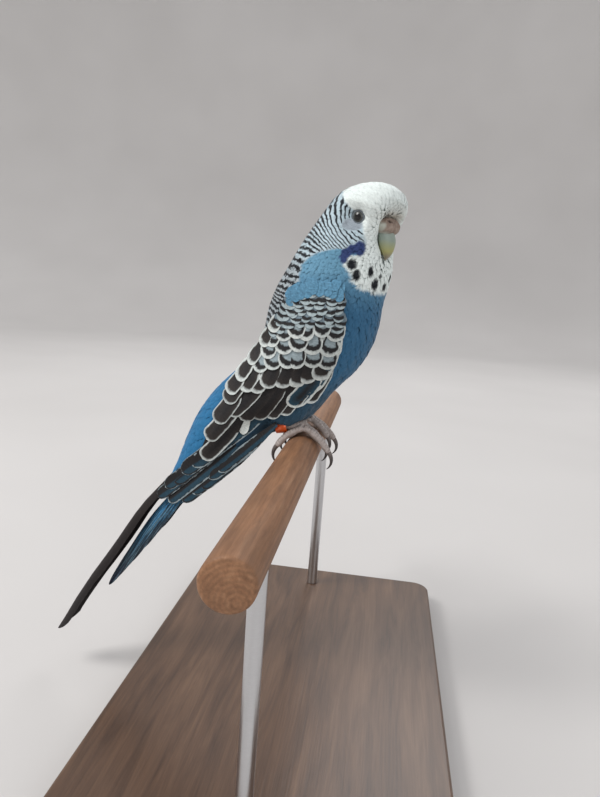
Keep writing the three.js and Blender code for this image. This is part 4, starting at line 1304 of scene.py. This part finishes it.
def bill_material():
    """Horn that changes from grey-green to yellow and brown towards the tip."""
    s = Shader("bill", Roughness=0.38, Specular_IOR_Level=0.5)
    grain = s.noise(s.scaled(s.place(), (1.0, 1.0, 0.25)), 500, 3)
    height = s.plus(s.attribute("height"), s.span(grain, 0, 1, -0.6, 0.6, False))
    s.colour(s.ramp(s.span(height, -14, -4, 0, 1, False), [
        (0.0, (0.17, 0.15, 0.12)), (0.18, (0.25, 0.22, 0.15)), (0.36, (0.36, 0.35, 0.13)),
        (0.56, (0.31, 0.34, 0.20)), (0.72, (0.27, 0.33, 0.28)), (1.0, (0.29, 0.35, 0.31))]))
    s.bump(grain, 0.04)
    return s.material


def bill():
    horn = bill_material()
    for name, rows, node in (("bill_upper_horn", BILL_UPPER, "bill_upper"),
                             ("bill_lower_horn", BILL_LOWER, "bill_lower")):
        rings, sides = 34, 40
        fine = smooth_line(rows, rings)
        ahead = unit(np.gradient(fine[:, :2], axis=0))
        out = upright(-ahead[:, 1], ahead[:, 0])
        turn = full_turn(sides)
        across = np.sin(turn)[None, :, None] * fine[:, 2, None, None] * np.array([0, 1, 0])
        through = (np.cos(turn) * (1 + 0.06 * np.cos(turn) * np.abs(np.cos(turn))))[None, :, None]
        through = through * fine[:, 3, None, None] * out[:, None]
        centre = upright(fine[:, 0], fine[:, 1])[:, None]
        points = (centre + across + through).reshape(-1, 3)
        piece = make_piece(name, from_head(points), ring_faces(rings, sides), horn,
                           (node,))
        set_attribute(piece.data, "height", points[:, 2])


# Feet, claws and leg ring

FOOT_Y = 9.0
HEEL = (-13.2, 7.75)
TOE_JOINT = (1.4, 10.6)
# A toe winds round the dowel: how far it stands from the foot's middle towards the bird's middle
# plane, and its way in degrees above the horizontal in front and distance from the axis.
TOES = {
    "outer_front": (-2.0, [(86, 9.6), (66, 8.6), (45, 8.5), (24, 9.1), (6, 10.5)]),
    "inner_front": (2.2, [(86, 9.6), (64, 8.4), (40, 8.1), (17, 8.6)]),
    "outer_back": (-3.2, [(88, 9.6), (110, 8.3), (134, 8.15), (152, 8.3), (167, 9.0)]),
    "inner_back": (3.2, [(88, 9.6), (110, 8.3), (132, 8.15), (149, 8.3)]),
}
SHANK_STEPS = 40
HEEL_HIDDEN = 8
TOE_STEPS = 60
TOE_BULGES = 2.5
SCUTE_STEP = 1.05
CLAW_LENGTH = 6.6
CLAW_RADIUS = 0.85
CLAW_HOOK = math.radians(96)
CLAW_STEPS = 26
CLAW_SIDES = 18
CLAW_ROOT = 0.5


def shank_ends(side):
    """The heel, hidden in the feathers, and the joint where the toes part."""
    return [np.array([x, side * FOOT_Y, z]) for x, z in (HEEL, TOE_JOINT)]


def toe_line(name, side):
    sideways, route = TOES[name]
    points = []
    for i, (degrees, distance) in enumerate(route):
        spread = mix(0.66, 1.02, i / (len(route) - 1))
        angle = math.radians(degrees)
        y = side * (FOOT_Y - sideways * spread)
        points.append((distance * math.cos(angle), y, distance * math.sin(angle)))
    return smooth_line(points, TOE_STEPS)


def tube(path, across, through, sides=20):
    """A round solid along a path, with its half widths sideways and in the path's plane."""
    ahead = unit(np.gradient(path, axis=0))
    sideways = unit(np.cross(np.cross(ahead, (0, 1, 0)), ahead)) * -1
    out = np.cross(ahead, sideways)
    turn = full_turn(sides)
    ring = (np.cos(turn)[None, :, None] * sideways[:, None] * across[:, None, None]
            + np.sin(turn)[None, :, None] * out[:, None] * through[:, None, None])
    return (path[:, None] + ring).reshape(-1, 3), ring_faces(len(path), sides)


def rounded_radius(radius, length, s):
    """A radius that closes to a round cap at the far end."""
    left = np.clip((1 - s) * length, 0, radius)
    return np.sqrt(np.maximum(radius**2 - (radius - left)**2, 0.01))


def foot_material():
    """Grey-pink skin with scutes across the upper side of the shank and toes."""
    s = Shader("foot_skin", Roughness=0.62, Specular_IOR_Level=0.35)
    scales = s.cells(s.place(), 1500)
    fine = s.noise(s.place(), 800, 3)
    tone = s.ramp(fine, [(0.3, (0.30, 0.25, 0.225)), (0.6, (0.42, 0.37, 0.35)),
                         (0.8, (0.50, 0.46, 0.44))])
    scutes = s.span(s.math("ABSOLUTE", s.math("SINE", s.attribute("scute"))), 0.0, 0.35)
    scutes = s.math("MAXIMUM", scutes, s.math("SUBTRACT", 1.0, s.attribute("top")))
    seam = s.span(scutes, 0, 1, 0.62, 1.0, False)
    s.colour(s.shaded(tone, seam))
    s.bump(s.plus(scutes, s.times(scales, -0.5)), 0.14, 0.9)
    return s.material


def claw_material():
    s = Shader("claw", Roughness=0.35)
    streak = s.noise(s.scaled(s.place(), (1, 1, 0.4)), 700, 3)
    share = s.plus(s.attribute("share"), s.span(streak, 0, 1, -0.2, 0.2, False))
    s.colour(s.ramp(share, [(0.0, (0.15, 0.12, 0.11)), (0.35, (0.06, 0.048, 0.045)),
                            (1.0, (0.028, 0.022, 0.02))]))
    s.bump(streak, 0.04)
    return s.material


def scute_run(skin, parts):
    """How far down the shank or a toe each point of a foot's skin lies."""
    best = np.full(len(skin), np.inf)
    run = np.zeros(len(skin))
    for path, _, start in parts:
        apart = np.linalg.norm(skin[:, None] - path[None], axis=2)
        nearer = apart.min(1) < best
        run[nearer] = start + run_along(path)[apart.argmin(1)][nearer]
        best = np.minimum(best, apart.min(1))
    return run


def feet():
    """Each foot's shank and toes, melted into one skin, with its claws."""
    skin_look, claw_look = foot_material(), claw_material()
    for side, label in ((-1, "right"), (1, "left")):
        points, faces = [], []
        shank = np.linspace(*shank_ends(side), SHANK_STEPS)[HEEL_HIDDEN:]
        at = np.linspace(HEEL_HIDDEN / SHANK_STEPS, 1, len(shank))
        parts = [(shank, mix(1.3, 1.7, at**4), 0.0)]
        for name in TOES:
            line = toe_line(name, side)
            at = np.linspace(0, 1, len(line))
            bulge = 1 + 0.07 * np.cos(at * TOE_BULGES * 2 * math.pi)
            cap = rounded_radius(1.25, run_along(line)[-1], at)
            parts.append((line, np.minimum(mix(1.5, 1.12, at), cap) * bulge, 30.0))
            claw_piece(name, label, line, claw_look)
        for path, radius, _ in parts:
            more, quads = tube(path, radius, radius)
            faces += [[i + len(points) for i in face] for face in quads]
            points += more.tolist()
        skin, normals, quads = melted(points, faces, 0.24, 3)
        foot = make_piece(f"foot_skin_{label}", skin, quads, skin_look,
                          (f"foot_{label}",))
        top = step(0.15, 0.5, (normals * unit(skin * (1, 0, 1))).sum(1))
        set_attribute(foot.data, "scute", scute_run(skin, parts) * math.pi / SCUTE_STEP)
        set_attribute(foot.data, "top", top)


def claw_piece(name, label, line, material):
    """The claw carries on from the toe's end and hooks down and back under it."""
    turn = 1 if "front" in name else -1
    heading = unit(line[-1] - line[-3])
    place = line[-1] - heading * CLAW_ROOT
    path = [place]
    for i in range(CLAW_STEPS):
        bend = CLAW_HOOK * ((i + 0.5) / CLAW_STEPS)**1.3 * turn
        turned = np.array([heading[0] * math.cos(bend) + heading[2] * math.sin(bend), heading[1],
                           heading[2] * math.cos(bend) - heading[0] * math.sin(bend)])
        place = place + turned * (CLAW_LENGTH + CLAW_ROOT) / CLAW_STEPS
        path.append(place)
    at = np.linspace(0, 1, CLAW_STEPS + 1)
    radius = CLAW_RADIUS * (1 - at)**0.75 + 0.06
    points, faces = tube(np.array(path), radius * 0.8, radius, CLAW_SIDES)
    claw = make_piece(f"claw_horn_{label}_{name}", points, faces, material,
                      (f"claw_{label}_{name}",))
    set_attribute(claw.data, "share", np.repeat(at, CLAW_SIDES))


# The ring's place on the way from the heel to the toes, and its measures.
RING_SHARE = 0.37
RING_INNER, RING_OUTER, RING_LENGTH = 1.95, 2.4, 4.1
RING_EDGE = 0.14


def ring_material():
    s = Shader("leg_ring", Metallic=0.35, Roughness=0.3, Coat_Weight=0.4)
    wear = s.noise(s.scaled(s.place(), (1, 0.3, 1)), 900, 4)
    s.colour(s.ramp(wear, [(0.35, (0.72, 0.085, 0.012)), (0.75, (0.85, 0.15, 0.03))]))
    s.bump(wear, 0.02)
    return s.material


def leg_ring():
    heel, joint = shank_ends(-1)
    half = RING_LENGTH / 2
    inner, outer = RING_INNER + RING_EDGE, RING_OUTER - RING_EDGE
    outline = [(-half, inner), (-half, outer), (RING_EDGE - half, RING_OUTER),
               (half - RING_EDGE, RING_OUTER), (half, outer), (half, inner),
               (half - RING_EDGE, RING_INNER), (RING_EDGE - half, RING_INNER), (-half, inner)]
    points, faces = lathe(outline, mix(heel, joint, RING_SHARE), joint - heel, 72)
    make_piece("ring_band", points, [face[::-1] for face in faces[:-2]], ring_material(),
               ("ring_right",))


# Dowel and display stand

# The middle of the growth rings that the dowel was cut from, and the spacing of the rings.
HEART = (2.4, 0, -3.2)
RING_STEP = 1.1
CHAMFER = 0.8


def dowel_material():
    """Brown wood with its grain along the dowel and growth rings on the cut ends."""
    s = Shader("dowel_wood", Roughness=0.62)
    grain = s.noise(s.scaled(s.place(), (1.0, 0.06, 1.0)), 900, 6, 0.65, 0.4)
    patch = s.noise(s.scaled(s.place(), (1.0, 0.45, 1.0)), 90, 4, 0.6)
    pore = s.cells(s.scaled(s.place(), (1.0, 0.08, 1.0)), 1400)
    colour = s.ramp(grain, [(0.3, (0.185, 0.084, 0.038)), (0.55, (0.275, 0.134, 0.065)),
                            (0.8, (0.345, 0.19, 0.104))])
    away = s.node("VectorMath", operation="DISTANCE")
    s.put(away.inputs[0], s.scaled(s.place(), (1, 0, 1)))
    s.put(away.inputs[1], (AXIS + np.array(HEART)) * MM)
    turns = s.plus(s.times(away.outputs["Value"], 2 * math.pi / (RING_STEP * MM)), s.times(patch, 7.0))
    rings = s.span(s.math("SINE", turns), -1, 1, 0.9, 1.05)
    shade = s.times(s.span(patch, 0.3, 0.7, 0.8, 1.1), rings)
    colour = s.shaded(colour, shade)
    s.colour(s.blend(colour, (0.12, 0.07, 0.04), s.span(pore, 0.04, 0.12, 0.5, 0.0)))
    s.bump(s.plus(grain, s.times(patch, 0.6)), 0.08, 0.5)
    return s.material


def dowel():
    radius = (PERCH_HIGH[2] - PERCH_LOW[2]) / 2
    near, far = PERCH_LOW[1], PERCH_HIGH[1]
    end = [(0, 0.3), (0, radius - CHAMFER), (0.12, radius - CHAMFER * 0.62),
           (0.4, radius - CHAMFER * 0.28), (CHAMFER, radius - 0.05)]
    profile = [(near + y, r) for y, r in end]
    profile += [(y, radius - 0.02) for y in np.linspace(near + 2, far - 2, 90)]
    profile += [(far - y, r) for y, r in reversed(end)]
    points, faces = lathe(profile, (0, 0, 0), (0, 1, 0), 72)
    make_piece("dowel", points, faces, dowel_material(), ("perch",))


BASE_CORNER = 8.0
BASE_BEVEL = 1.0
QUARTER_STEPS = 10
ROD_SINK, ROD_RISE = 0.3, 0.45


def box_in_mm(name):
    return (np.array(corner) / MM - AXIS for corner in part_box(name))


def rounded_slab(low, high):
    """A slab with round corners and bevelled faces, in rings from its lower to its upper face."""
    layers = [(low[2], BASE_BEVEL), (low[2] + BASE_BEVEL, 0)]
    for a in np.radians([0, 30, 60, 90]):
        layers.append((high[2] - BASE_BEVEL * (1 - math.sin(a)), BASE_BEVEL * (1 - math.cos(a))))
    points = []
    for z, inset in layers:
        for quarter, signs in enumerate([(1, 1), (-1, 1), (-1, -1), (1, -1)]):
            middle = np.where(np.array(signs) > 0, high[:2] - BASE_CORNER, low[:2] + BASE_CORNER)
            for a in np.radians(90 * quarter + np.linspace(0, 90, QUARTER_STEPS)):
                x, y = middle + (BASE_CORNER - inset) * np.array([math.cos(a), math.sin(a)])
                points.append((x, y, z))
    return points, ring_faces(len(layers), 4 * QUARTER_STEPS)


def base_material():
    s = Shader("base_wood", Roughness=0.42, Coat_Weight=0.25, Coat_Roughness=0.25)
    rings = s.noise(s.scaled(s.place(), (1.0, 0.09, 1.0)), 160, 5, 0.6, 0.8)
    fine = s.noise(s.scaled(s.place(), (1.0, 0.03, 1.0)), 1400, 3)
    colour = s.ramp(rings, [(0.3, (0.055, 0.028, 0.016)), (0.5, (0.095, 0.05, 0.028)),
                            (0.72, (0.14, 0.078, 0.045))])
    s.colour(s.shaded(colour, s.span(fine, 0.3, 0.7, 0.82, 1.1, False)))
    s.bump(fine, 0.05)
    return s.material


def steel_material():
    s = Shader("rod_steel", Metallic=1.0, Roughness=0.28)
    brushed = s.noise(s.scaled(s.place(), (0.15, 0.15, 1.0)), 4000, 2)
    s.colour(s.ramp(brushed, [(0.3, (0.57, 0.57, 0.58)), (0.7, (0.60, 0.60, 0.61))]))
    return s.material


def stand():
    """The wooden base and the two steel rods that carry the dowel."""
    points, faces = rounded_slab(*box_in_mm("stand_base"))
    make_piece("base", points, faces, base_material(), ("stand_base",), False)
    steel = steel_material()
    for name in ("stand_rod_near", "stand_rod_far"):
        low, high = box_in_mm(name)
        middle = (low + high) / 2
        radius = (high[0] - low[0]) / 2
        down, up = low[2] - ROD_SINK, high[2] + ROD_RISE
        profile = [(down, radius), *[(z, radius) for z in np.linspace(down + 0.5, up, 12)]]
        points, faces = lathe(profile, (middle[0], middle[1], 0), (0, 0, 1), 48)
        make_piece(name.replace("stand_", "steel_"), points, faces, steel,
                   (name,))


# Stage, lights and camera

# The stage is in metres, in the frame itself.
FLOOR_RADIUS = 1.6
COVE_RADIUS = 0.9
WALL_HEIGHT = 1.8
FLOOR_TONE = [(0.56, 0.545, 0.535), (0.60, 0.585, 0.575)]
SKY_STRENGTH = 0.62
LAMPS_AIM = (0, 0, 0.13)
# Soft lamps: name, place, size, power, colour. The main one stands to the left of the camera, high up.
LAMPS = [
    ("key", (-1.3, -0.7, 1.7), 0.9, 33.0, (1.0, 0.985, 0.965)),
    ("fill", (0.9, -1.2, 0.7), 0.9, 5.0, (0.96, 0.975, 1.0)),
    ("back", (0.3, 1.2, 1.3), 0.8, 8.0, (1.0, 1.0, 1.0)),
]


def floor_material():
    s = Shader("floor", Roughness=0.95, Specular_IOR_Level=0.05)
    tone = s.noise(s.place(), 3, 2)
    s.colour(s.ramp(tone, [(0.3, FLOOR_TONE[0]), (0.7, FLOOR_TONE[1])]))
    return s.material


def stage_floor():
    """A pale floor that rises in a smooth curve all round."""
    profile = [(0, r) for r in np.linspace(0.05, FLOOR_RADIUS, 8)]
    for a in np.linspace(0, math.pi / 2, 24)[1:]:
        profile.append((COVE_RADIUS * (1 - math.cos(a)), FLOOR_RADIUS + COVE_RADIUS * math.sin(a)))
    profile.append((WALL_HEIGHT, FLOOR_RADIUS + COVE_RADIUS))
    points, faces = lathe(profile, (0, 0, 0), (0, 0, 1), 96)
    mesh = bpy.data.meshes.new("floor")
    mesh.from_pydata(points.tolist(), [], faces[:-1])
    mesh.polygons.foreach_set("use_smooth", np.full(len(mesh.polygons), True))
    mesh.materials.append(floor_material())
    linked("floor", mesh)


def lights():
    """The light of a room from all sides, and soft lamps."""
    world = bpy.data.worlds.new("studio")
    bpy.context.scene.world = world
    world.use_nodes = True
    background = world.node_tree.nodes["Background"].inputs
    background["Color"].default_value = (0.96, 0.97, 1.0, 1)
    background["Strength"].default_value = SKY_STRENGTH
    for name, place, size, power, colour in LAMPS:
        light = bpy.data.lights.new(name, "AREA")
        light.size = size
        light.energy = power
        light.color = colour
        holder = linked(name, light)
        holder.location = place
        aim = Vector(LAMPS_AIM) - Vector(place)
        holder.rotation_euler = aim.to_track_quat("-Z", "Y").to_euler()
    bpy.context.scene.view_settings.view_transform = "Standard"


# The camera's place in mm from the dowel's axis, its three directions, and its lens.
CAMERA_AT = (26.616, -233.543, 59.503)
CAMERA_RIGHT = (0.98801, 0.13740, 0.07044)
CAMERA_UP = (-0.09265, 0.16259, 0.98233)
CAMERA_AHEAD = (-0.12352, 0.97708, -0.17337)
LENS = 38.4
SENSOR = 36


def camera():
    data = bpy.data.cameras.new("camera")
    data.sensor_fit = "HORIZONTAL"
    data.sensor_width = SENSOR
    data.lens = LENS
    data.clip_start = 0.01
    holder = linked("camera", data)
    turn = Matrix([CAMERA_RIGHT, CAMERA_UP, [-v for v in CAMERA_AHEAD]]).transposed()
    place = (np.array(CAMERA_AT) + AXIS) * MM
    holder.matrix_world = Matrix.Translation(place) @ turn.to_4x4()
    bpy.context.scene.camera = holder


coat = coat_material()
skin_piece(coat)
body_coat(coat)
wings()
tail()
eyes()
cere()
bill()
feet()
leg_ring()
dowel()
stand()
stage_floor()
lights()
camera()
